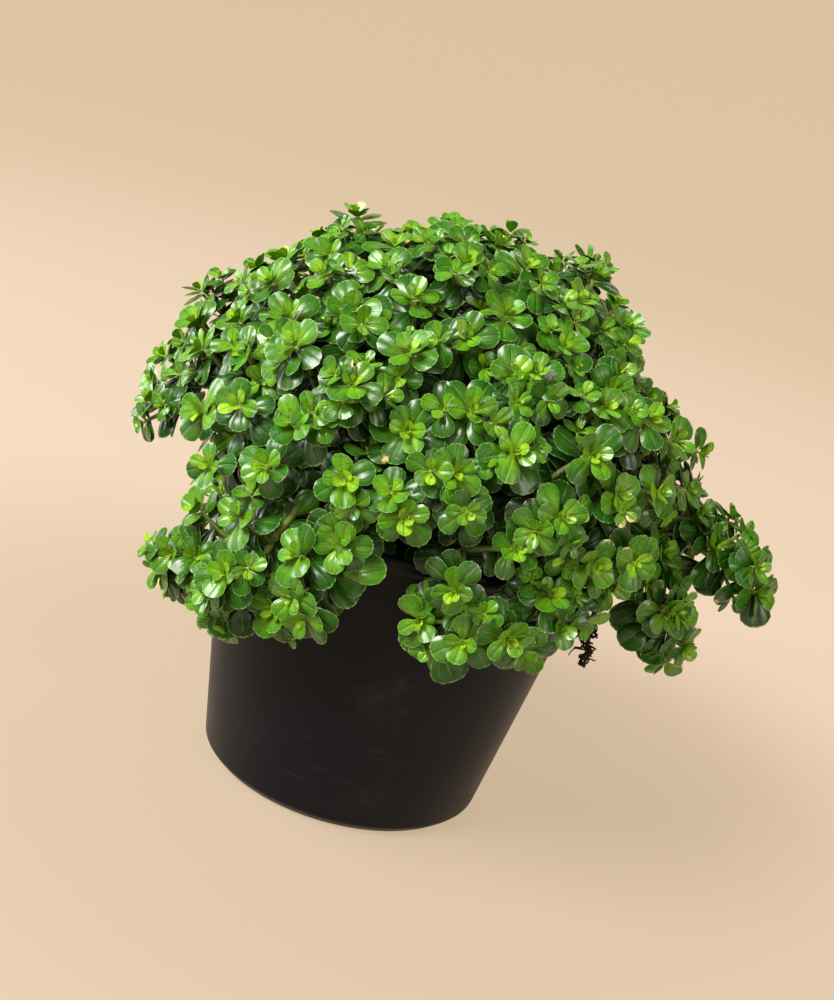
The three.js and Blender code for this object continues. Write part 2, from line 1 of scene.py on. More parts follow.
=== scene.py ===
# %% [markdown]
# # A potted Pilea depressa
#
# This lesson dresses a plain solid model of a small houseplant. The solids say where each piece is
# and how large it is. Here every one of them gets a finer piece that keeps its form: a smooth moulded
# pot, crumbly potting mix, a dry strand of root, and a few thousand fleshy little leaves.
#
# The frame is loaded first.

# %% Load the frame
import math

import bmesh
import bpy
import numpy as np
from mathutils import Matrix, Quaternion, Vector


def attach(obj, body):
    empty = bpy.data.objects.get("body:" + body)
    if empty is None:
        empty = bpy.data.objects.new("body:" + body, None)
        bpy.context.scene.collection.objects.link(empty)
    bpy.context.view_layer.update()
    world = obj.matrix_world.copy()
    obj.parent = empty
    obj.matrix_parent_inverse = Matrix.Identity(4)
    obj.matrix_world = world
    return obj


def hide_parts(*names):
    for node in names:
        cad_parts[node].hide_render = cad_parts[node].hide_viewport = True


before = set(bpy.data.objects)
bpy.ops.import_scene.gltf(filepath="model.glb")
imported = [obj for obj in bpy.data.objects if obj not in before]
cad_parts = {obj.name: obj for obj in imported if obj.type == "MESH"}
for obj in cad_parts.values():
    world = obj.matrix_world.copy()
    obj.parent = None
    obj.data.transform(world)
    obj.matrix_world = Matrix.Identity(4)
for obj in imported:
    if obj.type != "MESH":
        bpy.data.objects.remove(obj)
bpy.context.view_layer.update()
MM = 0.001
UP = np.array([0.0, 0.0, 1.0])

# %% [markdown]
# ## Camera
#
# The plant was photographed from a little above, with its pot leaning to the right in the picture.
# The pot stands upright here, so the camera leans instead: it is rolled about the line that it looks
# along. A camera could also be aimed with a constraint, but a quaternion says the same in two lines
# and can be rolled.

# %% Camera
CAMERA_AIM = Vector((0.8, 0, 76)) * MM
CAMERA_DISTANCE = 375 * MM
CAMERA_ABOVE = math.radians(15.9)
CAMERA_ROLL = math.radians(16)
FOCAL_PIXELS = 1475
LONG_SIDE_PIXELS = 1000


def add_camera():
    """Looks at the aim from the front and above, then turns about its own line of sight."""
    away = Vector((0, -math.cos(CAMERA_ABOVE), math.sin(CAMERA_ABOVE)))
    data = bpy.data.cameras.new("camera")
    data.sensor_width = 36
    data.lens = data.sensor_width * FOCAL_PIXELS / LONG_SIDE_PIXELS
    data.clip_start, data.clip_end = 0.01, 20
    camera = bpy.data.objects.new("camera", data)
    camera.location = CAMERA_AIM + away * CAMERA_DISTANCE
    camera.rotation_mode = "QUATERNION"
    roll = Quaternion((0, 0, 1), CAMERA_ROLL)
    camera.rotation_quaternion = (-away).to_track_quat("-Z", "Y") @ roll
    bpy.context.scene.collection.objects.link(camera)
    bpy.context.scene.camera = camera
    return camera


print("camera lens:", round(add_camera().data.lens, 1), "mm")

# %% [markdown]
# ## Putting surfaces into meshes
#
# Every shape below is worked out with numpy as whole arrays: points on a grid of two parameters, and
# the quads between neighbours. One function joins such parts, merges nothing by itself, and hands the
# arrays to Blender. Each part may carry a UV map and a few numbers per point, which the materials read.

# %% Arrays to mesh


def grid_faces(rows, columns, closed=False):
    """Quads of a grid of points counted row by row: each joins a point, its right neighbour, and the
    two above them. A closed grid joins its last column to its first."""
    index = np.arange(rows * columns).reshape(rows, columns)
    right = np.roll(index, -1, axis=1)
    if not closed:
        index, right = index[:, :-1], right[:, :-1]
    return np.stack([index[:-1], right[:-1], right[1:], index[1:]], axis=-1).reshape(-1, 4)


def mesh_object(name, parts, materials):
    """Joins parts, which are dictionaries with points in mm (n, 3), quads (m, 4), and maybe uv (n, 2),
    age (n,), tint (n,), edge (n,) and a material number. A quad whose last two corners are the same
    is a triangle. A line between two points of an edge is shaded as a sharp one."""
    sizes = [len(part["points"]) for part in parts]
    starts = np.concatenate([[0], np.cumsum(sizes)[:-1]])
    points = np.concatenate([part["points"] for part in parts]) * MM
    quads = np.concatenate([part["quads"] + start for part, start in zip(parts, starts)])
    triangle = quads[:, 2] == quads[:, 3]
    corners = np.where(triangle, 3, 4)
    kept = np.ones(quads.shape, bool)
    kept[:, 3] = ~triangle
    loops = quads[kept]
    mesh = bpy.data.meshes.new(name)
    mesh.vertices.add(len(points))
    mesh.vertices.foreach_set("co", points.astype(np.float32).ravel())
    mesh.loops.add(len(loops))
    mesh.loops.foreach_set("vertex_index", loops.astype(np.int32))
    mesh.polygons.add(len(quads))
    loop_starts = np.concatenate([[0], np.cumsum(corners)[:-1]])
    mesh.polygons.foreach_set("loop_start", loop_starts.astype(np.int32))
    numbers = np.concatenate([np.full(len(p["quads"]), p.get("material", 0)) for p in parts])
    for material in materials:
        mesh.materials.append(material)
    mesh.polygons.foreach_set("material_index", numbers.astype(np.int32))
    mesh.polygons.foreach_set("use_smooth", np.ones(len(quads), bool))
    for key in ("age", "tint"):
        if key in parts[0]:
            values = np.concatenate([part[key] for part in parts]).astype(np.float32)
            mesh.attributes.new(key, "FLOAT", "POINT").data.foreach_set("value", values)
    if "uv" in parts[0]:
        places = np.concatenate([part["uv"] for part in parts])[loops].astype(np.float32)
        mesh.uv_layers.new(name="blade").data.foreach_set("uv", places.ravel())
    mesh.update(calc_edges=True)
    mesh.validate()
    if "edge" in parts[0]:
        on_edge = np.concatenate([part["edge"] for part in parts])
        ends = np.empty(len(mesh.edges) * 2, np.int32)
        mesh.edges.foreach_get("vertices", ends)
        sharp = on_edge[ends.reshape(-1, 2)].all(axis=1)
        mesh.attributes.new("sharp_edge", "BOOLEAN", "EDGE").data.foreach_set("value", sharp)
    piece = bpy.data.objects.new(name, mesh)
    bpy.context.scene.collection.objects.link(piece)
    return piece


def declare(piece, node):
    """Hides the solid that a piece stands for, and hangs the piece on the root body, which it moves
    with.
    """
    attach(piece, "root")
    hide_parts(node)


print("a grid of 3 by 4 points has", len(grid_faces(3, 4)), "quads")

# %% [markdown]
# ## Materials as expressions
#
# A procedural material is a formula over the surface. Drawn by hand it is a web of nodes. Written
# with one small class it reads like the formula: the class wraps an output, and each operator adds
# the Math node that it stands for.

# %% Shader arithmetic


def connect(tree, item, socket):
    """Links a wrapped value to a socket, or sets the socket to a plain number or colour."""
    if isinstance(item, Value):
        tree.links.new(item.socket, socket)
    else:
        socket.default_value = item


class Value:
    """A number that varies over a surface."""

    def __init__(self, tree, socket):
        self.tree, self.socket = tree, socket

    def math(self, operation, *operands):
        node = self.tree.nodes.new("ShaderNodeMath")
        node.operation = operation
        for item, socket in zip(operands, node.inputs):
            connect(self.tree, item, socket)
        return Value(self.tree, node.outputs[0])

    def __add__(self, other):
        return self.math("ADD", self, other)

    def __radd__(self, other):
        return self.math("ADD", other, self)

    def __sub__(self, other):
        return self.math("SUBTRACT", self, other)

    def __rsub__(self, other):
        return self.math("SUBTRACT", other, self)

    def __mul__(self, other):
        return self.math("MULTIPLY", self, other)

    def __rmul__(self, other):
        return self.math("MULTIPLY", other, self)

    def __abs__(self):
        return self.math("ABSOLUTE", self)

    def sine(self):
        return self.math("SINE", self)

    def greater(self, other):
        return self.math("MAXIMUM", self, other)


class Finish:
    """A material whose Principled shader is fed by expressions."""

    def __init__(self, name, **constants):
        self.material = bpy.data.materials.new(name)
        self.material.use_nodes = True
        self.tree = self.material.node_tree
        self.shader = self.tree.nodes["Principled BSDF"]
        self.feed(**constants)

    def feed(self, **inputs):
        for name, item in inputs.items():
            connect(self.tree, item, self.shader.inputs[name.replace("_", " ")])

    def node(self, kind, settings=None, output=0, **inputs):
        """Adds a node, makes its settings, then fills its sockets. Ramp stops are a setting."""
        node = self.tree.nodes.new("ShaderNode" + kind)
        for key, setting in (settings or {}).items():
            if key == "stops":
                while len(node.color_ramp.elements) < len(setting):
                    node.color_ramp.elements.new(0.5)
                for element, (place, colour) in zip(node.color_ramp.elements, setting):
                    element.position, element.color = place, (*colour, 1)
            else:
                setattr(node, key, setting)
        for name, item in inputs.items():
            connect(self.tree, item, node.inputs[name.replace("_", " ")])
        return Value(self.tree, node.outputs[output])

    def place(self):
        return self.node("TexCoord", output="Object")

    def noise(self, place, scale, detail=2.0, roughness=0.5):
        return self.node("TexNoise", Vector=place, Scale=scale, Detail=detail, Roughness=roughness)

    def smooth(self, item, low, high):
        """0 below low, 1 above high, and an even slope with soft ends between them."""
        settings = {"interpolation_type": "SMOOTHSTEP"}
        return self.node("MapRange", settings, Value=item, From_Min=low, From_Max=high)

    def mix(self, low, high, share):
        """Colour low where the share is 0 and colour high where it is 1."""
        node = self.tree.nodes.new("ShaderNodeMix")
        node.data_type = "RGBA"
        for item, number in ((share, 0), (low, 6), (high, 7)):
            plain = isinstance(item, tuple)
            connect(self.tree, (*item, 1) if plain else item, node.inputs[number])
        return Value(self.tree, node.outputs[2])

    def bump(self, height, distance, strength=1.0):
        return self.node("Bump", Height=height, Distance=distance, Strength=strength)


print("shader helpers ready")

# %% [markdown]
# ## The pot
#
# A nursery pot is one thin moulding of polypropylene: a tapered wall, a lip that stands a little
# proud, and a floor with drain holes. It could be cut with booleans, but a profile turned about the
# axis gives cleaner faces. Only the ring of the floor that holds the holes isn't round, so it is made
# of six sectors, each a grid that runs from a hole's edge out to the sector's border.

# %% Pot shape
RIM_R, BASE_R, POT_H = 50, 36.5, 76
WALL, FLOOR, LIP_H, LIP_PROUD = 1.3, 1.8, 3.6, 0.8
POT_SIDES = 144
DRAIN_HOLES, DRAIN_R, DRAIN_CIRCLE_R = 6, 3.5, 26
DRAIN_RING = (20.5, 31.5)
SECTOR_STEPS, SPOKE_STEPS = POT_SIDES // DRAIN_HOLES, 4


def wall_radius(z):
    """Radius of the outer wall at a height: a straight taper from the base to under the lip."""
    return BASE_R + (RIM_R - LIP_PROUD - BASE_R) * z / POT_H


def rounded(profile, radius, steps=4):
    """Replaces each inner corner of a profile by a curve of Bezier form that starts and ends a radius
    away from the corner, or at half the side's length where that is less."""
    profile = np.array(profile, float)
    out = [profile[0]]
    for before, corner, after in zip(profile[:-2], profile[1:-1], profile[2:]):
        reach = [min(radius, 0.45 * np.linalg.norm(p - corner)) for p in (before, after)]
        start = corner + (before - corner) / np.linalg.norm(before - corner) * reach[0]
        end = corner + (after - corner) / np.linalg.norm(after - corner) * reach[1]
        t = np.linspace(0, 1, steps)[:, None]
        out += list((1 - t) ** 2 * start + 2 * t * (1 - t) * corner + t ** 2 * end)
    return np.array([*out, profile[-1]])


def turned(profile, sides):
    """Carries a profile of (radius, height) round the axis: x = r cos a, y = r sin a."""
    angle = np.arange(sides) * 2 * math.pi / sides
    r, z = profile[:, :1], profile[:, 1:]
    points = np.stack([r * np.cos(angle), r * np.sin(angle), z + 0 * angle], axis=-1)
    return {"points": points.reshape(-1, 3), "quads": grid_faces(len(profile), sides, closed=True)}


def floor_sector(number, z, inward):
    """One sector of the floor's ring: straight lines from the drain hole's circle to the border, which
    is an outer arc, a spoke, an inner arc and a spoke."""
    low, high = np.array([number, number + 1]) * 2 * math.pi / DRAIN_HOLES
    arc = np.linspace(low, high, SECTOR_STEPS + 1)
    spoke = np.linspace(*DRAIN_RING, SPOKE_STEPS + 1)
    radius = np.concatenate([np.full(SECTOR_STEPS, DRAIN_RING[1]), spoke[:0:-1],
                             np.full(SECTOR_STEPS, DRAIN_RING[0]), spoke[:-1]])
    angle = np.concatenate([arc[:-1], np.full(SPOKE_STEPS, high),
                            arc[:0:-1], np.full(SPOKE_STEPS, low)])
    border = np.stack([radius * np.cos(angle), radius * np.sin(angle)], axis=-1)
    middle = (low + high) / 2
    centre = DRAIN_CIRCLE_R * np.array([math.cos(middle), math.sin(middle)])
    bearing = border - centre
    hole = centre + DRAIN_R * bearing / np.linalg.norm(bearing, axis=1, keepdims=True)
    share = np.linspace(0, 1, 4)[:, None, None]
    flat = hole + share * (border - hole)
    points = np.concatenate([flat, np.full((*flat.shape[:2], 1), float(z))], axis=-1)
    quads = grid_faces(4, len(border), closed=True)
    return {"points": points.reshape(-1, 3), "quads": quads[:, ::-1] if inward else quads}, points[0]


def disc(radius, z, flip):
    """A flat middle: rings of points that close on a last small ring and its fan."""
    rings = turned(np.array([[radius, z], [radius * 0.5, z], [radius * 0.12, z], [0.0, z]]), POT_SIDES)
    if flip:
        rings["quads"] = rings["quads"][:, ::-1]
    return rings


def merged(piece, distance):
    """Welds points that are nearer to each other than a distance, which also closes the poles."""
    work = bmesh.new()
    work.from_mesh(piece.data)
    bmesh.ops.remove_doubles(work, verts=work.verts, dist=distance)
    bmesh.ops.dissolve_degenerate(work, edges=work.edges, dist=distance)
    bmesh.ops.recalc_face_normals(work, faces=work.faces)
    work.to_mesh(piece.data)
    work.free()
    piece.data.update()


def pot_parts():
    lip_foot = POT_H - LIP_H
    outside = [
        (DRAIN_RING[1], 0), (BASE_R - 2.2, 0), (BASE_R + 0.4, 2.4), (wall_radius(24), 24),
        (wall_radius(48), 48), (wall_radius(lip_foot), lip_foot), (RIM_R - 0.15, lip_foot + 0.7),
        (RIM_R, POT_H - 0.8), (RIM_R - 0.8, POT_H), (RIM_R - LIP_PROUD - WALL + 0.4, POT_H),
        (wall_radius(lip_foot) - WALL, lip_foot), (wall_radius(40) - WALL, 40),
        (wall_radius(FLOOR + 2) - WALL, FLOOR + 2), (wall_radius(FLOOR) - WALL - 1.6, FLOOR),
        (DRAIN_RING[1], FLOOR),
    ]
    parts = [turned(rounded(outside, 0.7), POT_SIDES), disc(DRAIN_RING[0], 0, True),
             disc(DRAIN_RING[0], FLOOR, False)]
    for number in range(DRAIN_HOLES):
        below, low_edge = floor_sector(number, 0, True)
        above, high_edge = floor_sector(number, FLOOR, False)
        wall = np.stack([low_edge, high_edge])
        quads = grid_faces(2, wall.shape[1], closed=True)
        parts += [below, above, {"points": wall.reshape(-1, 3), "quads": quads}]
    return parts


# %% [markdown]
# The plastic is charcoal with a satin skin. Handling and potting leave faint dusty smudges on it and
# a few hair-thin scratches, and the moulding itself is never quite even. All of that is low contrast:
# a noise that is stretched along the wall for the scratches, a broad one for the dust.

# %% Pot material
CHARCOAL, CHARCOAL_PALE = (0.0022, 0.0028, 0.0050), (0.0050, 0.0058, 0.0086)
POT_DUST, POT_SCRATCH = (0.040, 0.033, 0.029), (0.06, 0.057, 0.054)


def pot_plastic():
    paint = Finish("charcoal_plastic", Specular_IOR_Level=0.14, IOR=1.49)
    place = paint.place()
    uneven = paint.noise(place, 60, 3)
    grain = paint.noise(place, 1400, 2)
    dust = paint.smooth(paint.noise(place, 38, 5, 0.65), 0.56, 0.74)
    height = paint.node("SeparateXYZ", output="Z", Vector=place)
    below_leaves = paint.smooth(height, 0.074, 0.05)
    dust = dust * below_leaves
    stretched = paint.node("Mapping", Vector=place, Scale=(60, 60, 900), Rotation=(0.3, 0.12, 0))
    scratch = paint.smooth(paint.noise(stretched, 1, 1), 0.735, 0.765)
    colour = paint.mix(CHARCOAL, CHARCOAL_PALE, uneven)
    colour = paint.mix(colour, POT_DUST, dust * 0.3)
    colour = paint.mix(colour, POT_SCRATCH, scratch * 0.12)
    paint.feed(
        Base_Color=colour,
        Roughness=0.34 + uneven * 0.1 + dust * 0.15 + scratch * 0.15,
        Normal=paint.bump(grain * 0.5 + uneven * 0.8 - scratch * 0.2, 0.00006, 0.5),
    )
    return paint.material


pot = mesh_object("pot_shell", pot_parts(), [pot_plastic()])
merged(pot, 0.02 * MM)
declare(pot, "pot")
print("pot faces:", len(pot.data.polygons))

# %% [markdown]
# ## The potting mix
#
# Peat and bark fill the pot to a little under the rim. The surface is a disc of rings whose height
# is a sum of a few broad waves and of random crumbs, and small lumps lie on it. Little of it shows
# between the leaves, so its detail is kept low.

# %% Potting mix
SOIL_TOP, SOIL_BUMP, SOIL_ROUGH = 68.5, 0.9, 0.28
SOIL_R, SOIL_FADE = 46.2, 13
SOIL_RINGS, SOIL_SIDES = 34, 120
CLEARANCE = 0.35
CRUMBS, CRUMB_REACH = 260, 44
PEAT_DARK, PEAT_BROWN, BARK = (0.010, 0.006, 0.0035), (0.050, 0.029, 0.016), (0.12, 0.08, 0.045)


def soil_height(x, y):
    """The solid's own two waves: sin(0.31x + 1) cos(0.27y) and a ripple across them."""
    waves = np.sin(x * 0.31 + 1) * np.cos(y * 0.27) + 0.6 * np.sin(x * 0.13 - y * 0.37)
    return SOIL_TOP + SOIL_BUMP * waves


def crumb_parts(random):
    """Small lumps: each is a ball of 4 rings by 6 whose points are moved in and out at random."""
    band = np.linspace(0, math.pi, 4)[:, None]
    turn = np.arange(6) * math.pi / 3
    ball = [np.sin(band) * np.cos(turn), np.sin(band) * np.sin(turn), np.cos(band) + 0 * turn]
    ball = np.stack(ball, -1).reshape(-1, 3)
    radius = CRUMB_REACH * np.sqrt(random.uniform(0.0, 1, CRUMBS))
    angle = random.uniform(0, 2 * math.pi, CRUMBS)
    x, y = radius * np.cos(angle), radius * np.sin(angle)
    z = soil_height(x, y) - np.clip((radius - 33) / SOIL_FADE, 0, 1)
    size = random.uniform(0.5, 1.6, (CRUMBS, 1, 1)) * random.uniform(0.6, 1.2, (CRUMBS, 1, 3))
    lumps = ball * size * random.uniform(0.85, 1.15, (CRUMBS, len(ball), 1))
    points = lumps + np.stack([x, y, z], -1)[:, None]
    quads = grid_faces(4, 6, closed=True)
    steps = np.arange(CRUMBS)[:, None, None] * len(ball)
    return {"points": points.reshape(-1, 3), "quads": (quads + steps).reshape(-1, 4)}


def inside_wall(z):
    """A place of the mix's side: just inside the wall at a height."""
    return wall_radius(z) - WALL - CLEARANCE, z


def soil_parts():
    """The side and the rings of the top. The top keeps its waves and crumbs up to near the wall,
    and goes down to the side there."""
    random = np.random.default_rng(7)
    bottom = FLOOR + CLEARANCE
    profile = [(0, bottom), (inside_wall(bottom)[0] - 2, bottom), inside_wall(FLOOR + 2.4)]
    profile += [inside_wall(SOIL_TOP - 1)]
    profile += [(share * SOIL_R, SOIL_TOP) for share in np.linspace(0, 1, SOIL_RINGS)[::-1]]
    heap = turned(np.array(profile, float), SOIL_SIDES)
    p = heap["points"].reshape(len(profile), SOIL_SIDES, 3)
    top = p[4:]
    radius = np.hypot(top[..., 0], top[..., 1])
    even = soil_height(top[..., 0], top[..., 1])
    fade = np.clip((SOIL_R - radius) / SOIL_FADE, 0, 1)
    rough = random.normal(0, SOIL_ROUGH, top.shape[:2])
    rough[-1] = 0
    top[..., 2] = (even + rough) * fade + (SOIL_TOP - 1 + 0.5 * rough) * (1 - fade)
    top[-1, :, 2] = SOIL_TOP
    return [heap, crumb_parts(random)]


def peat():
    paint = Finish("damp_peat", Specular_IOR_Level=0.3)
    place = paint.place()
    crumb = paint.noise(place, 420, 5, 0.7)
    fibre = paint.noise(place, 1500, 3)
    colour = paint.mix(PEAT_DARK, PEAT_BROWN, paint.smooth(crumb, 0.4, 0.72))
    colour = paint.mix(colour, BARK, paint.smooth(fibre, 0.62, 0.74) * 0.6)
    relief = paint.bump(crumb + fibre * 0.4, 0.0006)
    paint.feed(Base_Color=colour, Roughness=0.75 + crumb * 0.3, Normal=relief)
    return paint.material


soil = mesh_object("potting_mix", soil_parts(), [peat()])
merged(soil, 0.005 * MM)
declare(soil, "soil")
print("potting mix faces:", len(soil.data.polygons))

# %% [markdown]
# ## One leaf as a surface
#
# A leaf of this plant is fleshy and shaped like a spoon: a wedge at its foot, widest past the middle,
# round at the end with five blunt teeth. Its two halves puff up either side of a sunken midrib, and
# the upper side meets the underside in a thin crease, which is shaded as a sharp line.
#
# A leaf could be sculpted, but there are thousands, so it is one patch that all of them share. Four
# border curves are filled in the way that Coons gave: each point is the sum of what the two pairs of
# borders say, less what the corners say twice. The underside shares the border, so the leaf is closed.

# %% Leaf patch
WIDEST_AT, HALF_WIDTH = 0.63, 0.40
FOOT_SHARE, FOOT_POWER = 0.16, 1.3
END_POWER = 2.1
END_SPAN = math.radians(72)
TOOTH, TEETH_CENTRE = 0.006, (0, 0.55)
MIDRIB_CROWDING = 1.25
DOME, LOBES, GROOVE, GROOVE_WIDTH, BELLY = 0.078, 0.03, 0.022, 0.14, 0.04


def leaf_half_width(y):
    """Half width at a share y of the length: a wedge as a sine up to the widest place, then a
    quarter of an oval with slightly square shoulders."""
    rise = np.sin(np.clip(y / WIDEST_AT, 0, 1) * math.pi / 2) ** FOOT_POWER
    wedge = FOOT_SHARE + (1 - FOOT_SHARE) * rise
    end = np.clip((y - WIDEST_AT) / (1 - WIDEST_AT), 0, 1)
    return HALF_WIDTH * np.where(y < WIDEST_AT, wedge, (1 - end ** END_POWER) ** (1 / END_POWER))


def leaf_patch(rows, columns):
    """Coons patch over foot, end and sides: P = (1-s)B + sT + (1-r)L + rR - the corners' own mix."""
    s = np.linspace(0, 1, rows + 1)[:, None, None]
    v = np.linspace(-1, 1, columns + 1)
    v = np.sign(v) * np.abs(v) ** MIDRIB_CROWDING
    r = ((v + 1) / 2)[None, :, None]
    angle = v * END_SPAN
    power = 2 / END_POWER
    end = np.stack([HALF_WIDTH * np.sign(angle) * np.abs(np.sin(angle)) ** power,
                    WIDEST_AT + (1 - WIDEST_AT) * np.cos(angle) ** power], -1)
    foot = np.stack([v * HALF_WIDTH * FOOT_SHARE, 0 * v], -1)
    height = s[:, 0, 0] * end[-1, 1]
    side = np.stack([leaf_half_width(height), height], -1)
    left, right = side * (-1, 1), side
    blend = (1 - s) * foot + s * end + (1 - r) * left[:, None] + r * right[:, None]
    corners = (1 - s) * ((1 - r) * foot[0] + r * foot[-1]) + s * ((1 - r) * end[0] + r * end[-1])
    return blend - corners, s[..., 0] + 0 * v, v + 0 * s[..., 0]


def leaf_template(rows, columns, toothed):
    """Places, heights, quads and UVs of the shared leaf, for a length of one. Its top is an arch along
    the leaf times a dome across it, plus two lobes, less a groove with the form of a bell curve."""
    flat, s, v = leaf_patch(rows, columns)
    outward = flat - TEETH_CENTRE
    outward /= np.linalg.norm(outward, axis=-1, keepdims=True)
    tooth = np.zeros(s.shape)
    if toothed:
        tooth[-1, 0::2] = 1
        tooth[-1, 1::2] = -1
        tooth[-2, [0, -1]] = -1
    flat = flat + outward * tooth[..., None] * TOOTH
    arch = np.sin(math.pi * np.clip(s, 0.02, 0.98) ** 0.85) ** 0.6
    lobes = np.abs(np.sin(math.pi * v)) ** 0.8
    dome = 1 - v ** 2
    top = arch * (DOME * dome + LOBES * lobes - GROOVE * np.exp(-(v / GROOVE_WIDTH) ** 2))
    under = -arch * BELLY * dome
    index = np.arange(s.size).reshape(s.shape)
    inner = (slice(1, -1), slice(1, -1))
    below = index.copy()
    below[inner] = s.size + np.arange(index[inner].size).reshape(index[inner].shape)
    upper = grid_faces(*s.shape)
    lower = below.ravel()[upper][:, ::-1]
    uv = np.stack([(v + 1) / 2, s], -1)
    edge = np.zeros(s.size + below[inner].size, bool)
    edge[:s.size] = True
    edge[index[inner].ravel()] = False
    return {
        "flat": np.concatenate([flat.reshape(-1, 2), flat[inner].reshape(-1, 2)]),
        "lift": np.concatenate([top.ravel(), under[inner].ravel()]),
        "uv": np.concatenate([uv.reshape(-1, 2), uv[inner].reshape(-1, 2)]),
        "quads": np.concatenate([upper, lower]),
        "edge": edge,
    }


LEAVES = {True: leaf_template(4, 8, True), False: leaf_template(3, 4, False)}
print("faces of a leaf:", {fine: len(leaf["quads"]) for fine, leaf in LEAVES.items()})

# %% [markdown]
# Each leaf then gets its own foot, directions and bends. A mature leaf is a little domed and its end
# hangs. A young one is cupped, folded along its midrib, and stands nearly upright in the bud. All
# leaves of a piece are worked out together: arrays with one row for each leaf and one column for each
# point of the shared patch.

# %% Leaves from rows of numbers
LEAF_FIELDS = ("length", "width", "pitch", "yaw", "roll", "cup", "curl", "fold", "age", "tint")


def unit(v):
    return v / np.linalg.norm(v, axis=-1, keepdims=True)


def spun(v, axis, angle):
    """Rodrigues' turn of rows of vectors about rows of unit axes."""
    c, s = np.cos(angle)[:, None], np.sin(angle)[:, None]
    return v * c + np.cross(axis, v) * s + axis * (v * axis).sum(-1, keepdims=True) * (1 - c)


def leaf_points(shape, foot, out, up, data):
    """Points of all leaves: the foot, plus the flat place along and across, plus the lift. The lift is
    the shared one, plus cup times the square and fold times the size of the place across, less half of
    curl times the square of the place along."""
    out = spun(out, up, data["yaw"])
    pitch = data["pitch"][:, None]
    along = out * np.cos(pitch) + up * np.sin(pitch)
    normal = up * np.cos(pitch) - out * np.sin(pitch)
    normal = spun(normal, along, data["roll"])
    across = np.cross(along, normal)
    x = shape["flat"][None, :, 0] * data["width"][:, None]
    y = shape["flat"][None, :, 1] + 0 * x
    lift = shape["lift"][None] + data["cup"][:, None] * x ** 2 + data["fold"][:, None] * np.abs(x)
    curl = data["curl"][:, None]
    lift = lift - curl * y ** 2 / 2
    y = y * (1 - (curl * y) ** 2 / 6)
    size = data["length"][:, None, None]
    return foot[:, None] + size * (y[..., None] * along[:, None] + x[..., None] * across[:, None]
                                   + lift[..., None] * normal[:, None])


def is_blocked(points):
    """True for a leaf that has a point in the pot's wall, under it, or in the mix."""
    radius, z = np.hypot(points[..., 0], points[..., 1]), points[..., 2]
    outer = wall_radius(z) + np.where(z > POT_H - LIP_H - 0.5, LIP_PROUD, 0)
    in_pot = (z < POT_H + 0.2) & (radius < outer + 0.25) & (radius > outer - WALL - LIP_PROUD - 0.2)
    in_mix = (z < SOIL_TOP + 0.6) & (radius < outer)
    return (in_pot | in_mix).any(axis=1)


# bend and turn in degrees and share of the length, tried in this order
ESCAPES = [(0, 0, 1), (18, 0, 1), (-14, 0, 1), (34, 0, 1), (18, 28, 1), (18, -28, 1), (-30, 0, 0.9),
           (50, 0, 0.85), (34, 34, 0.8), (34, -34, 0.8), (62, 0, 0.7)]


def leaf_part(leaves, fine):
    """Joins leaves into one part. Those that would cross the pot or the mix are bent, turned or made
    smaller by the first of the escapes that frees them, and are left out where none does."""
    shape = LEAVES[fine]
    foot, out, up = (np.array([leaf[k] for leaf in leaves], float) for k in range(3))
    rows = np.array([leaf[3] for leaf in leaves], float)
    data = dict(zip(LEAF_FIELDS, rows.T))
    chosen = {key: data[key].copy() for key in ("pitch", "yaw", "length")}
    waiting = np.ones(len(foot), bool)
    for bend, turn, scale in ESCAPES:
        trial = dict(data)
        trial["pitch"] = data["pitch"] + math.radians(bend)
        trial["yaw"] = data["yaw"] + math.radians(turn)
        trial["length"] = data["length"] * scale
        free = waiting & ~is_blocked(leaf_points(shape, foot, out, up, trial))
        for key in chosen:
            chosen[key][free] = trial[key][free]
        waiting &= ~free
    data.update(chosen)
    points = leaf_points(shape, foot, out, up, data)[~waiting]
    count, size = points.shape[:2]
    steps = np.arange(count)[:, None, None] * size
    return {
        "points": points.reshape(-1, 3),
        "quads": (shape["quads"] + steps).reshape(-1, 4),
        "uv": np.tile(shape["uv"], (count, 1)),
        "age": np.repeat(data["age"][~waiting], size),
        "tint": np.repeat(data["tint"][~waiting], size),
        "edge": np.tile(shape["edge"], count),
        "material": 0,
    }


print("leaf fields:", ", ".join(LEAF_FIELDS))

# %% [markdown]
# ## Stems
#
# A stem is a round tube carried along a curve, thinner towards its end and slightly swollen at the
# joints where leaves stand. Shoots of the crown follow a cubic Bezier curve, which leaves its start
# one way and arrives another way. Shoots that trail pass through a few given places, so they follow
# a Catmull-Rom curve.

# %% Curves and tubes
STEM_SIDES = 7


def bezier(start, leaving, pull, end, arriving, end_pull, count=48):
    """(1-t)^3 A + 3t(1-t)^2 B + 3t^2(1-t) C + t^3 D, with B and C pulled out of the two ends."""
    t = np.linspace(0, 1, count)[:, None]
    b, c = start + leaving * pull, end - arriving * end_pull
    return (1 - t) ** 3 * start + 3 * t * (1 - t) ** 2 * b + 3 * t ** 2 * (1 - t) * c + t ** 3 * end


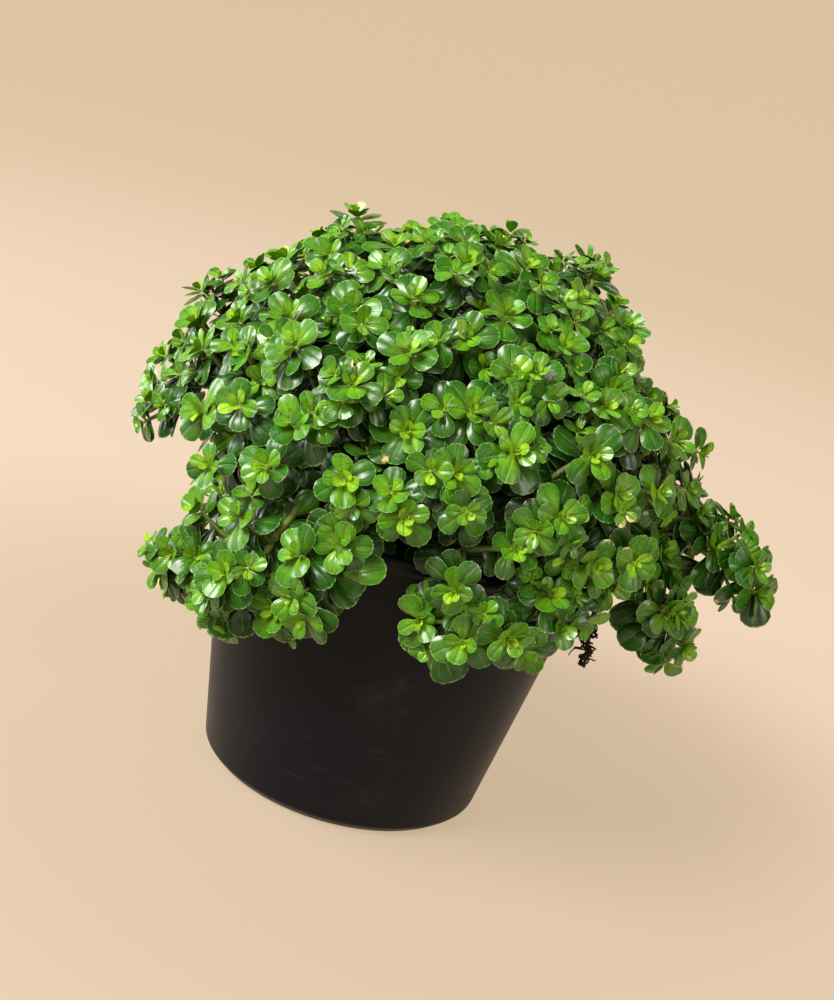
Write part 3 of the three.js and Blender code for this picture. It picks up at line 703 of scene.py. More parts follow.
def through(points, count=24):
    """Catmull-Rom: between two places a cubic whose slopes are half of the way from the place before
    to the place after. The ends go on straight."""
    p = np.array([2 * points[0] - points[1], *points, 2 * points[-1] - points[-2]])
    t = np.linspace(0, 1, count, endpoint=False)[:, None, None]
    a, b = p[1:-2], p[2:-1]
    slope_a, slope_b = 0.5 * (p[2:-1] - p[:-3]), 0.5 * (p[3:] - p[1:-2])
    cubic = ((2 * t ** 3 - 3 * t ** 2 + 1) * a + (t ** 3 - 2 * t ** 2 + t) * slope_a
             + (3 * t ** 2 - 2 * t ** 3) * b + (t ** 3 - t ** 2) * slope_b)
    return np.concatenate([cubic.transpose(1, 0, 2).reshape(-1, 3), points[-1:]])


class Stem:
    """A curve as a dense row of points, with places found by distance along it."""

    def __init__(self, points):
        self.points = points
        steps = np.linalg.norm(np.diff(points, axis=0), axis=1)
        self.distances = np.concatenate([[0], np.cumsum(steps)])
        self.length = self.distances[-1]

    def at(self, distance):
        return np.array([np.interp(distance, self.distances, self.points[:, k]) for k in range(3)]).T

    def heading(self, distance):
        step = 0.4
        low, high = np.clip(np.array([distance - step, distance + step]), 0, self.length)
        return unit(self.at(high) - self.at(low))

    def carried(self, side, turn=0.0):
        """A side direction taken from the start to the end: kept square to the stem at every step and
        turned by an equal share of the whole turn."""
        share = turn / 12
        for distance in np.linspace(0, self.length, 13)[1:]:
            ahead = self.heading(distance)
            side = spun(side[None], ahead[None], np.array([share]))[0]
            side = unit(side - ahead * (side @ ahead))
        return side


def tube(stem, low_radius, high_radius, age, steps=None, swell=0.18, spacing=6.0):
    """Rings square to a curve. The radius runs evenly between its ends and swells by a share where
    leaves stand. Each end is a fan of triangles about its own point."""
    steps = steps or max(5, int(stem.length / 2.4))
    distance = np.linspace(0, stem.length, steps)
    centre = stem.at(distance)
    ahead = unit(np.gradient(centre, axis=0))
    side = unit(np.cross(ahead, (0.31, 0.9, 0.28)))
    other = np.cross(ahead, side)
    turn = np.arange(STEM_SIDES) * 2 * math.pi / STEM_SIDES
    radius = low_radius + (high_radius - low_radius) * distance / stem.length
    joint = np.exp(-(((stem.length - distance) % spacing - spacing / 2) / 0.9) ** 2)
    radius = radius * (1 + swell * joint)
    rings = centre[:, None] + radius[:, None, None] * (
        np.cos(turn)[None, :, None] * side[:, None] + np.sin(turn)[None, :, None] * other[:, None])
    count = steps * STEM_SIDES
    wall = grid_faces(steps, STEM_SIDES, closed=True)
    here, after = np.arange(STEM_SIDES), np.roll(np.arange(STEM_SIDES), -1)
    last = count - STEM_SIDES
    low_fan = np.stack([here * 0 + count, after, here, here], -1)
    high_fan = np.stack([here * 0 + count + 1, last + here, last + after, last + after], -1)
    share = np.concatenate([np.repeat(distance / stem.length, STEM_SIDES), [0, 1]])
    return {
        "points": np.concatenate([rings.reshape(-1, 3), centre[:1], centre[-1:]]),
        "quads": np.concatenate([wall, low_fan, high_fan]),
        "uv": np.stack([np.concatenate([np.tile(turn / (2 * math.pi), steps), [0, 0]]), share], -1),
        "age": age[0] + (age[1] - age[0]) * share,
        "tint": np.zeros(count + 2),
        "edge": np.zeros(count + 2, bool),
        "material": 1,
    }


print("stem tools ready")

# %% [markdown]
# ## Shoots
#
# The leaves stand in pairs, each pair square to the one below it. At the end of a stem the pairs are
# close together and make a rosette: small upright leaves in the middle, wide flat ones outside. Lower
# on the stem the pairs are further apart, larger and darker. Small side sprigs grow from the axils.
#
# One table gives a pair for each rank, from the bud outwards. The open ranks stand about the stem's
# end, the rest along the stem. The draws are seeded, so the plant is the same on every run.

# %% Rosettes
# length, pitch, height over the stem's end, cup, curl, fold, age
RANKS = [
    (2.0, 62, 1.4, 0.5, -0.3, 0.28, 0.00),
    (3.3, 50, 1.1, 0.35, -0.2, 0.20, 0.10),
    (4.8, 38, 0.7, 0.2, 0.0, 0.14, 0.23),
    (6.2, 28, 0.1, -0.1, 0.15, 0.10, 0.36),
    (7.3, 18, -1.0, -0.25, 0.3, 0.07, 0.50),
    (8.0, 9, -2.8, -0.35, 0.4, 0.05, 0.64),
    (8.3, 0, -5.2, -0.4, 0.45, 0.02, 0.78),
    (8.4, -4, -8.3, -0.3, 0.45, 0.0, 0.9),
    (8.4, -6, -12.0, -0.3, 0.5, 0.0, 0.97),
    (8.3, -8, -16.2, -0.3, 0.5, 0.0, 1.00),
    (8.2, -8, -20.9, -0.3, 0.5, 0.0, 1.00),
    (8.0, -8, -26.1, -0.3, 0.5, 0.0, 1.00),
    (7.8, -8, -31.8, -0.3, 0.5, 0.0, 1.00),
]
OPEN_RANKS, OUTER_RANKS = 5, 8
AXIS_UNEVEN, RANK_TWIST, RANK_UNEVEN = 0.12, 23, 8
SPRIG_RANKS, SPRIG_DEEPEST, SPRIG_R = (0, 2, 3, 4, 5), 9, (0.55, 0.4)
STEM_AGES = (1.0, 0.3)
YOUNG_WIDTH, WIDTH_GROWN_AT = 0.84, 0.4


class Foliage:
    """The leaves and stems of one piece while they are being gathered."""

    def __init__(self, node, seed):
        self.node, self.random = node, np.random.default_rng(seed)
        self.leaves, self.parts = {True: [], False: []}, []

    def leaf(self, foot, out, up, length, shape, age, tint=0.0, fine=True):
        """One leaf, with its own small differences. Its shape is pitch, cup, curl and fold."""
        r = self.random
        pitch, cup, curl, fold = shape
        width = YOUNG_WIDTH + (1 - YOUNG_WIDTH) * min(1, age / WIDTH_GROWN_AT)
        self.leaves[fine].append((foot, out, up, (
            length * r.uniform(0.88, 1.1), width * r.uniform(0.92, 1.14),
            math.radians(pitch + r.normal(0, 6)), math.radians(r.normal(0, 8)),
            math.radians(r.normal(0, 9)), cup + r.normal(0, 0.12), curl + r.normal(0, 0.12),
            fold + abs(r.normal(0, 0.03)), float(np.clip(age + r.normal(0, 0.06), 0, 1)),
            float(np.clip(tint + r.normal(0, 0.4), -1, 1)))))

    def pair(self, stem, side, rank, size, back, tint=0.0, skip=0.0, fine=True, sky=None, hold=0.45):
        """Two leaves on opposite sides of a stem, some way back from its end. Where a sky is given,
        blades turn to it by the share hold, and leaves that would point at it swing round the stem."""
        length, pitch, height, cup, curl, fold, age = RANKS[rank]
        distance = min(stem.length - back, stem.length)
        up = stem.heading(distance)
        foot = stem.at(distance) + up * max(0.0, -back)
        out = square_to(side, up)
        for sign in (1, -1):
            if self.random.uniform() < skip:
                continue
            leaf_up, leaf_out = up, out * sign
            if sky is not None:
                ahead = (out @ sky) ** 2
                swung = np.cross(sky, up) * sign + up * 0.5
                leaf_up = unit(up * (1 - hold) + sky * hold)
                leaf_out = square_to(leaf_out * (1 - ahead) + swung * ahead + up * 0.15, leaf_up)
            self.leaf(foot + out * sign * 0.5, leaf_out, leaf_up, length * size,
                      (pitch, cup, curl, fold), age, tint, fine)

    def rosette(self, stem, side, size, ranks=range(9), tint=0.0, sprigs=0.5, fine=True, sky=None,
                lean=0.45):
        """Pairs of the given ranks, each square to the next. Even ranks stand on the given side. The
        open ranks stand about the stem's end and lean with it to the sky, the rest along the stem."""
        end, tip = stem.heading(stem.length), stem.at(stem.length)
        axis = end if sky is None else unit(end * (1 - lean) + sky * lean)
        axis = unit(axis + self.random.normal(0, AXIS_UNEVEN, 3))
        side = square_to(side, axis)
        other = np.cross(axis, side)
        for rank in ranks:
            height = RANKS[rank][2] * (size if rank < OUTER_RANKS else 1.0)
            if -height > stem.length - 1.5:
                break
            swing = np.array([math.radians(self.random.normal(0, RANK_UNEVEN) + RANK_TWIST * rank)])
            across = spun((side if rank % 2 == 0 else other)[None], axis[None], swing)[0]
            if rank < OPEN_RANKS:
                length, pitch, _, cup, curl, fold, age = RANKS[rank]
                for sign in (1, -1):
                    foot = tip + axis * height + across * sign * 0.4
                    self.leaf(foot, across * sign, axis, length * size, (pitch, cup, curl, fold), age,
                              tint, fine and rank > 1)
            else:
                small = fine and rank < OUTER_RANKS
                self.pair(stem, across, rank, size, -height, tint, 0.05, small, sky, lean)
        for sign, across in ((1, other), (-1, other), (1, side), (-1, side)):
            if self.random.uniform() < sprigs:
                low, high = (3.5, 6.0) if across is other else (7.0, 11)
                self.sprig(stem, across * sign, size, self.random.uniform(low, high), tint, sky)

    def sprig(self, stem, side, size, back, tint, sky=None):
        """A short side stem from an axil that ends in a small rosette."""
        r = self.random
        if back > stem.length - 2:
            return
        start, up = stem.at(stem.length - back), stem.heading(stem.length - back)
        out = spun(square_to(side, up)[None], up[None], np.array([r.normal(0, 0.4)]))[0]
        deep = min(back, SPRIG_DEEPEST) / SPRIG_DEEPEST
        axis = unit(out + up * r.uniform(0.35, 0.7) * (1 + deep))
        reach = r.uniform(4.5, 6.5) + 3 * deep
        pull = reach * 0.3
        branch = Stem(bezier(start, unit(out + 0.4 * up), pull, start + axis * reach, axis, pull, 16))
        self.parts.append(tube(branch, *SPRIG_R, (0.6, 0.2), steps=5))
        side, size_here = square_to(r.normal(0, 1, 3), axis), size * r.uniform(0.6, 0.85)
        self.rosette(branch, side, size_here, SPRIG_RANKS, tint, 0, size > 0.8, sky)

    def stem(self, points, low_radius, high_radius, ages=STEM_AGES):
        stem = Stem(points)
        self.parts.append(tube(stem, low_radius, high_radius, ages))
        return stem

    def finish(self, name, materials):
        parts = [leaf_part(self.leaves[fine], fine) for fine in (True, False)]
        piece = mesh_object(name, [*parts, *self.parts], materials)
        declare(piece, self.node)
        return sum(len(rows) for rows in self.leaves.values())


def square_to(v, axis):
    return unit(v - axis * (v @ axis))


print("ranks of leaf pairs:", len(RANKS))

# %% [markdown]
# ## Where the shoots are
#
# The solid model grew from seeded draws: a series of whole numbers, each 16807 times the one before
# and reduced to what is left after dividing by 2^31 - 1. The same draws here give the same stems, so
# each fine shoot stands exactly where its solid is.

# %% Skeleton
CROWN_CENTRE = np.array([0, 0, 78.0])
CROWN_R, CROWN_UNEVEN = 66, 2.5
CROWN_TURN, GOLDEN_ANGLE = 54, 137.508
# angle, elevation, how far the crown stands out or back, and over how many degrees that fades
LEADERS = [
    (180, 5, 7, 10), (180, 26, 9, 9), (180, 40, -2, 9), (180, 61, 6, 8), (180, 75, -3, 8),
    (0, 77, -5, 7), (0, 69, 6, 6), (0, 52, 3, 6), (0, 39, -8, 12), (0, 18, 3, 9),
]
FRONT = np.array([0.0, -1.0, 0.0])
USUAL_PULL = 1.2


def seeded(seed):
    """A function that draws evenly between two values, from the series that the seed starts."""
    state = [(seed * 7919 + 104729) % 2147483647]

    def draw(low, high):
        state[0] = state[0] * 16807 % 2147483647
        return low + (high - low) * state[0] / 2147483647

    draw(0, 1)
    draw(0, 1)
    return draw


def around(angle, radius, z):
    a = math.radians(angle)
    return np.array([radius * math.cos(a), radius * math.sin(a), z])


def spread(i, n, highest, lowest):
    """The i-th of n directions spread as sunflower seeds are, between two sines of the height."""
    sine = highest - (i + 0.5) / n * (highest - lowest)
    return around(i * GOLDEN_ANGLE + CROWN_TURN, math.sqrt(1 - sine * sine), sine)


def on_crown(out, above):
    """A place on the crown: its radius plus a rounded rise or dip near each leader."""
    reach = CROWN_R + above
    for angle, elevation, height, width in LEADERS:
        e = math.radians(elevation)
        leader = around(angle, math.cos(e), math.sin(e))
        apart = math.acos(np.clip(out @ leader, -1, 1))
        reach += height * math.exp(-(apart / math.radians(width)) ** 2)
    return CROWN_CENTRE + out * reach


def facing(tip):
    return unit(unit(tip - CROWN_CENTRE) * 0.94 + UP * 0.06)


def to_light(out, pull=USUAL_PULL):
    """Where leaves turn their blades: outwards and up, and on the front half also to the front, which
    is where the plant's light has come from. Shoots that point up turn less."""
    share = np.clip(0.5 + 0.5 * (out @ FRONT), 0, 1) * (1 - 0.45 * max(out[2], 0))
    return unit(out + FRONT * share * pull + UP * 0.35)


print("first place on the crown:", on_crown(UP, 0).round(1))

# %% [markdown]
# The leaf material reads the UV map of the shared patch: across is 0 to 1 from side to side and along
# is 0 to 1 from foot to end. The midrib is the line across = 0.5, two side veins curve either side of
# it, and the rim is pale and a little rough. The pale rim is partly the leaf's own colour and partly
# a painted highlight. Inside it the blade darkens a little towards its edge, which is painted shade.
# Age runs from the yellow green of the bud to the dark green of old leaves, and that dark green is
# partly painted shade. A few leaves carry dry, straw-coloured spots near the rim.

# %% Leaf and stem materials
BUD_GREEN = (0.290, 0.510, 0.018)
YOUNG_GREEN = (0.086, 0.262, 0.005)
LEAF_GREEN = (0.0155, 0.097, 0.0012)
# The dark green of old leaves is partly their own colour and partly painted shade, as they stand deep
# in the clump.
OLD_AND_SHADED_GREEN = (0.0035, 0.029, 0.0008)
RIM_GREEN = (0.34, 0.56, 0.15)
DRY_SPOT = (0.60, 0.50, 0.18)
STEM_GREENS = [(0, (0.25, 0.40, 0.04)), (0.5, (0.11, 0.17, 0.022)), (1.0, (0.012, 0.022, 0.005))]


def leaf_flesh():
    paint = Finish("leaf_flesh", Specular_IOR_Level=0.12, Coat_Roughness=0.25)
    place = paint.place()
    age = paint.node("Attribute", {"attribute_name": "age"}, output="Fac")
    tint = paint.node("Attribute", {"attribute_name": "tint"}, output="Fac")
    uv = paint.node("UVMap", {"uv_map": "blade"})
    across = abs(paint.node("SeparateXYZ", output="X", Vector=uv) * 2 - 1)
    along = paint.node("SeparateXYZ", output="Y", Vector=uv)
    mottle = paint.noise(place, 900, 3)
    blotch = paint.noise(place, 190, 2)
    cells = paint.noise(place, 2100, 1)
    stops = [(0, BUD_GREEN), (0.2, YOUNG_GREEN), (0.55, LEAF_GREEN), (1.0, OLD_AND_SHADED_GREEN)]
    shade = age + tint * 0.09 + (mottle - 0.5) * 0.25 + (blotch - 0.5) * 0.2
    colour = paint.node("ValToRGB", {"stops": stops}, Fac=shade)
    foot = 1 - paint.smooth(along, 0.05, 0.8)
    colour = paint.mix(colour, BUD_GREEN, foot * (1 - age * 1.5).greater(0) * 0.9)
    midrib = 1 - paint.smooth(across, 0.01, 0.09)
    vein_line = 0.52 * (along * 2.7).sine()
    side_vein = 1 - paint.smooth(abs(across - vein_line), 0.015, 0.06)
    vein = midrib.greater(side_vein * 0.35)
    colour = paint.mix(colour, RIM_GREEN, vein * 0.18 * (1 - paint.smooth(along, 0.6, 0.95)))
    edge = across.greater(along * 2 - 1)
    # Painted shade: the blade darkens a little towards its edge, where it curves down out of the light.
    margin_shade = paint.smooth(edge, 0.5, 0.85)
    colour = paint.mix(colour, OLD_AND_SHADED_GREEN, margin_shade * 0.15)
    # The pale rim in dashes is partly the leaf's own colour and partly a painted highlight, where light
    # breaks on the crease and on the small teeth.
    dashes = 0.55 + (across * 17).sine() * (along * 21).sine() * 0.45
    rim = paint.smooth(edge, 0.90, 0.975) * dashes
    colour = paint.mix(colour, RIM_GREEN, rim * 0.45)
    spots = paint.smooth(paint.noise(place, 95, 4, 0.6) + edge * 0.07, 0.74, 0.785)
    colour = paint.mix(colour, DRY_SPOT, spots * 0.85)
    height = (1 - vein) * 0.6 + mottle * 0.5 + blotch * 0.35 + cells * 0.35
    paint.feed(
        Base_Color=colour,
        Roughness=0.33 + mottle * 0.16 + rim * 0.15 + spots * 0.2,
        Coat_Weight=0.06 + paint.smooth(blotch, 0.38, 0.62) * 0.94,
        Normal=paint.bump(height, 0.0004, 0.9),
    )
    return paint.material


def stem_skin():
    paint = Finish("stem_skin", Specular_IOR_Level=0.5, Coat_Weight=0.1, Coat_Roughness=0.3)
    place = paint.place()
    age = paint.node("Attribute", {"attribute_name": "age"}, output="Fac")
    streak = paint.noise(paint.node("Mapping", Vector=place, Scale=(1, 1, 0.3)), 900, 3)
    colour = paint.node("ValToRGB", {"stops": STEM_GREENS}, Fac=age + (streak - 0.5) * 0.3)
    paint.feed(Base_Color=colour, Roughness=0.4 + streak * 0.2, Normal=paint.bump(streak, 0.0002, 0.5))
    return paint.material


GREENERY = [leaf_flesh(), stem_skin()]
print("leaf and stem materials made")

# %% [markdown]
# ### The heart of the crown
#
# Fifty-two shoots stand in the middle of the plant and end on the upper crown. Their solid is one
# clump, because the stems and old leaves inside are too many to build one by one there. Here the
# stems are real: they rise from the mix, spread, and carry pairs of leaves all the way out. Sixty
# shorter shoots with old leaves fill the shade behind them, as far out as the clump reaches. A crown
# isn't an even ball, so a few more shoots stick out of it or fill a gap, and a few stay small.

# %% Heart
HEART_ROSETTES, HEART_LOWEST, HEART_FOOT_Z = 52, 0.6, 64
SHADED_SHOOTS, SHADED_HIGHEST, SHADED_LOWEST = 60, 0.85, -0.25
SHADED_CENTRE, SHADED_R = np.array([0, 0, 88.0]), 39
SHADED_RANKS = range(4, 9)
HEART_PULLS, HEART_R, FILLING_R, SHADED_STEM_R = (20, 24), (1.25, 0.75), (1.2, 0.75), (1.0, 0.7)
# angle, elevation, size and height over the crown of the shoots that stick out or fill a gap
FILLING = {
    "heart_foliage_top": [(75, 74, 0.85, 3.5), (35, 64, 0.85, 6.5)],
    "heart_foliage_ring": [(-83, 33, 1.0, -1), (-74, 42, 0.95, -1), (20, 51, 0.75, 3.5),
                           (172, 26, 0.9, 3.5), (-165, 7, 0.85, 3)],
}
# numbers of the shoots that stay small, and their size
SMALL_SHOOTS = {2: 0.75, 5: 0.75, 8: 0.85, 18: 0.7, 26: 0.75}


def heart_shoot(foliage, i):
    draw = seeded(i + 101)
    out = spread(i, HEART_ROSETTES, 1, HEART_LOWEST)
    tip = on_crown(out, draw(-CROWN_UNEVEN, CROWN_UNEVEN))
    side = square_to(around(draw(0, 180), 1, 0), out)
    turn, size = draw(-0.5, 0.5), draw(0.9, 1.06) * SMALL_SHOOTS.get(i, 1)
    angle = math.degrees(math.atan2(out[1], out[0]))
    foot = around(angle, 3 + 12 * math.hypot(out[0], out[1]), HEART_FOOT_Z)
    face = facing(tip)
    stem = foliage.stem(bezier(foot, UP, HEART_PULLS[0], tip, face, HEART_PULLS[1]), *HEART_R)
    side = spun(square_to(side, face)[None], face[None], np.array([turn]))[0]
    tint = foliage.random.normal(0, 0.35)
    foliage.rosette(stem, side, size, range(len(RANKS)), tint, sky=to_light(out))


def filling_shoot(foliage, angle, elevation, size, above):
    """A shoot that grew into a gap which its neighbours leave, or past them."""
    out = around(angle, math.cos(math.radians(elevation)), math.sin(math.radians(elevation)))
    tip = on_crown(out, above)
    foot = around(angle, 14, HEART_FOOT_Z)
    stem = foliage.stem(bezier(foot, UP, HEART_PULLS[0], tip, facing(tip), HEART_PULLS[1]), *FILLING_R)
    side, tint = square_to(foliage.random.normal(0, 1, 3), out), foliage.random.normal(0, 0.3)
    foliage.rosette(stem, side, size, range(len(RANKS)), tint, sky=to_light(out))


def shaded_shoot(foliage, i):
    """A short shoot that ends in the shade on the solid heart's outline, with old leaves only."""
    out = spread(i, SHADED_SHOOTS, SHADED_HIGHEST, SHADED_LOWEST)
    angle = math.degrees(math.atan2(out[1], out[0]))
    tip = SHADED_CENTRE + out * (SHADED_R + foliage.random.uniform(-3, 3))
    foot = around(angle, 11, HEART_FOOT_Z)
    stem = foliage.stem(bezier(foot, UP, 10, tip, out, 12), *SHADED_STEM_R, (1, 0.8))
    side, tint = square_to(foliage.random.normal(0, 1, 3), out), foliage.random.normal(0, 0.3)
    foliage.rosette(stem, side, 1.0, SHADED_RANKS, tint, 0, False, to_light(out))


for number, name in enumerate(("heart_foliage_top", "heart_foliage_ring")):
    heart = Foliage("crown_heart", 11 + number)
    half = HEART_ROSETTES // 2
    for i in range(number * half, (number + 1) * half):
        heart_shoot(heart, i)
    half = SHADED_SHOOTS // 2
    for i in range(number * half, (number + 1) * half):
        shaded_shoot(heart, i)
    for place in FILLING[name]:
        filling_shoot(heart, *place)
    print(name, "leaves:", heart.finish(name, GREENERY))

# %% [markdown]
# ### Crown shoots
#
# Lower on the crown, twenty-two shoots root nearer to the rim. Each has one trunk that forks into
# three arms, and each arm ends in a rosette. Pairs of old leaves stand all the way down the trunk, and
# they are what makes the plant dark and full inside. Some forks also send out a fourth arm, which
# ends beside or below the others and covers the rim, and a few shoots stay slight.

# %% Crown shoots
CROWN_SHOOTS, CROWN_LOWEST = 22, 0.1
CROWN_ROOTS = (33, 41)
FORK_AT, FORK_RISE = 0.66, 3
ARM_SPREAD, ARM_UNEVEN = 9.8, 2.5
TRUNK_R, ARM_R, TIP_R, ARM_AGES = 1.25, 0.8, 0.6, (0.8, 0.25)
LEAF_DRAWS = 8
OLD_PAIR_SPACING, OLD_PAIR_TURN = 5.2, 90
# how far a fourth arm ends sideways of the shoot's middle, and how far above it
SIDE_SHOOTS = {"crown_shoot_13": (13, 4), "crown_shoot_14": (0, -13), "crown_shoot_16": (6, -13),
               "crown_shoot_19": (-4, -13), "crown_shoot_11": (-6, -16), "crown_shoot_22": (3, -12),
               "crown_shoot_20": (0, -12), "crown_shoot_17": (2, -13)}
SLIGHT = {"crown_shoot_21": 0.8, "crown_shoot_18": 0.85, "crown_shoot_11": 0.8}


def side_shoot(foliage, fork, middle, across, sideways, rise, tint):
    """A fourth arm that leaves the fork and ends some way from the shoot's middle."""
    tip = middle * (0.98, 0.98, 1) + across * sideways + UP * rise
    leaving = unit(tip - fork + UP * 8)
    axis = unit(unit(tip - CROWN_CENTRE) + UP * 0.1)
    reach = np.linalg.norm(tip - fork)
    curve = bezier(fork, leaving, reach * 0.4, tip, axis, reach * 0.3)
    branch = foliage.stem(curve, ARM_R * 0.8, TIP_R, ARM_AGES)
    foliage.rosette(branch, np.cross(axis, UP), 0.95, range(9), tint, sky=to_light(axis))


def arm_tips(middle, out, across, draw):
    """Where the three arms of a shoot end: round its middle, about a third of a turn apart."""
    along = np.cross(out, across)
    start = draw(0, 120)
    tips = []
    for step in (0, 120, 240):
        turn = math.radians(start + step + draw(-12, 12))
        reach = ARM_SPREAD * draw(0.88, 1.12)
        lift = draw(-ARM_UNEVEN, ARM_UNEVEN)
        tip = middle + across * reach * math.cos(turn)
        tips.append(tip + along * reach * math.sin(turn) + out * lift)
    return tips


def crown_shoot(i):
    foliage = Foliage(f"crown_shoot_{i + 1:02d}", 301 + i)
    draw = seeded(i + 1)
    out = spread(i, CROWN_SHOOTS, HEART_LOWEST - 0.04, CROWN_LOWEST)
    angle = math.degrees(math.atan2(out[1], out[0]))
    across = around(angle + 90, 1, 0)
    middle = on_crown(out, draw(-CROWN_UNEVEN, CROWN_UNEVEN))
    tips = arm_tips(middle, out, across, draw)
    root_r = CROWN_ROOTS[0] + (CROWN_ROOTS[1] - CROWN_ROOTS[0]) * i / CROWN_SHOOTS
    foot = around(angle, root_r, SOIL_TOP)
    fork = foot + (middle - foot) * FORK_AT + UP * FORK_RISE
    heading = unit(unit(middle - fork) * 0.85 + UP * 0.15)
    u = square_to(tips[1] - tips[2], heading)
    rise = around(angle, root_r, SOIL_TOP - 6)
    pull = 0.3 * np.linalg.norm(fork - foot)
    trunk = foliage.stem(bezier(rise, UP, 13, fork, heading, pull), TRUNK_R, ARM_R)
    tint, sky = foliage.random.normal(0, 0.35), to_light(out)
    slight = SLIGHT.get(foliage.node, 1.0)
    sprigs = 0.5 if slight == 1 else 0
    for k, sign in ((1, 1), (2, -1)):
        size, turn = draw(0.9, 1.06), draw(-0.7, 0.7)
        for _ in range(LEAF_DRAWS):
            draw(0, 1)
        reach = np.linalg.norm(tips[k] - fork)
        leaving = u * sign + 0.5 * heading
        curve = bezier(fork, leaving, 0.25 * reach, tips[k], facing(tips[k]), 0.35 * reach)
        arm = foliage.stem(curve, ARM_R, TIP_R, ARM_AGES)
        side = arm.carried(np.cross(heading, u * sign), turn)
        foliage.rosette(arm, side, size * slight, range(10), tint, sprigs, sky=sky)
    reach = np.linalg.norm(tips[0] - fork)
    curve = bezier(fork, heading, reach * 0.3, tips[0], facing(tips[0]), reach * 0.35)
    top = foliage.stem(curve, ARM_R, TIP_R, ARM_AGES)
    foliage.rosette(top, top.carried(u, draw(-0.7, 0.7)), slight, range(10), tint, sprigs, sky=sky)
    if foliage.node in SIDE_SHOOTS:
        side_shoot(foliage, fork, middle, across, *SIDE_SHOOTS[foliage.node], tint)
    side = trunk.carried(u)
    for k, back in enumerate(np.arange(1.0, trunk.length - 9, OLD_PAIR_SPACING)):
        turned_side = spun(side[None], heading[None], np.array([math.radians(k * OLD_PAIR_TURN)]))[0]
        foliage.pair(trunk, turned_side, 8, 1.0, back, tint, 0.1, False, sky)
    return foliage.finish(f"foliage_{foliage.node}", GREENERY)


print("crown leaves:", sum(crown_shoot(i) for i in range(CROWN_SHOOTS)))

# %% [markdown]
# ### Trailing shoots
#
# Nine longer shoots leave the mix near the wall, rise over the rim and spill. They follow given
# places, and carry pairs of leaves with side sprigs between them. A shoot that lies over the rim still
# turns its blades to the light, so most of its leaves are seen full face. Two stems are bare where
# they cross the rim. A few large leaves stand out or hang down one by one, and each has its own row.

# %% Trailing shoots
TRAIL_ROOT_R, TRAIL_FREE_FROM, TRAIL_END = 42, 0.36, 5
TRAIL_SPACING, TRAIL_ARM = 9, 8.5
TRAIL_AGES, TRAIL_ARM_AGES = (0.5, 0.0), (0.4, 0.15)
CROSS_H = 1.3
# name, angle of the root, places as angle, radius and height, and the pairs that bear a side stem
TRAILS = [
    ("left_spill_far", -131, [(-130, 50, 80), (-133, 56, 66), (-140, 59, 57), (-148, 59, 51)], (1, 2)),
    ("left_spill_near", -117, [(-116, 50, 83), (-117, 59, 74), (-121, 60, 62), (-129, 61, 53)], (1, 2)),
    ("left_spill_front", -103, [(-102, 49, 82), (-102, 57, 74), (-104, 59, 66), (-112, 60, 59)], (1,)),
    ("front_creeper", -46, [(-44, 49, 82), (-47, 56.5, 74), (-62, 57.5, 68.5), (-81, 57, 66)], (1, 2)),
    ("right_low", -20, [(-22, 50, 82), (-23, 59, 77), (-21, 68, 71), (-18, 75, 66)], (1, 2)),
    ("right_reacher", -2, [(-4, 48, 84), (-5, 62, 87), (-6, 76, 85), (-7, 88, 80)], (1, 2)),
    ("back_spill_right", 48, [(50, 50, 83), (54, 60, 74), (60, 64, 63), (66, 64, 53)], (1, 2)),
    ("back_spill_middle", 98, [(100, 50, 83), (104, 60, 74), (108, 66, 65), (110, 70, 58)], (1,)),
    ("back_spill_left", 140, [(142, 50, 83), (144, 60, 75), (148, 64, 66), (152, 64, 59)], (1, 2)),
]
# how many sprigs stand at each pair, and how many pairs are bare
SPRIGS = {"front_creeper": 2, "right_low": 3, "right_reacher": 3, "back_spill_left": 1}
BARE_PAIRS = {"left_spill_far": 1, "left_spill_near": 1}
LEAFLESS_INSIDE = ("left_spill_far", "left_spill_near", "front_creeper", "right_low", "right_reacher",
                   "back_spill_left")
# how far blades turn to the front
TRAIL_PULL = {"left_spill_far": 2.2, "right_low": 3.2, "right_reacher": 3.2, "front_creeper": 2}
# distance from the end and rank of the pairs that hang under it
UNDER_PAIRS = ((3.0, 6), (6.5, 7), (10.0, 7))
NOTHING_UNDER = ("back_spill_left", "right_low", "right_reacher")
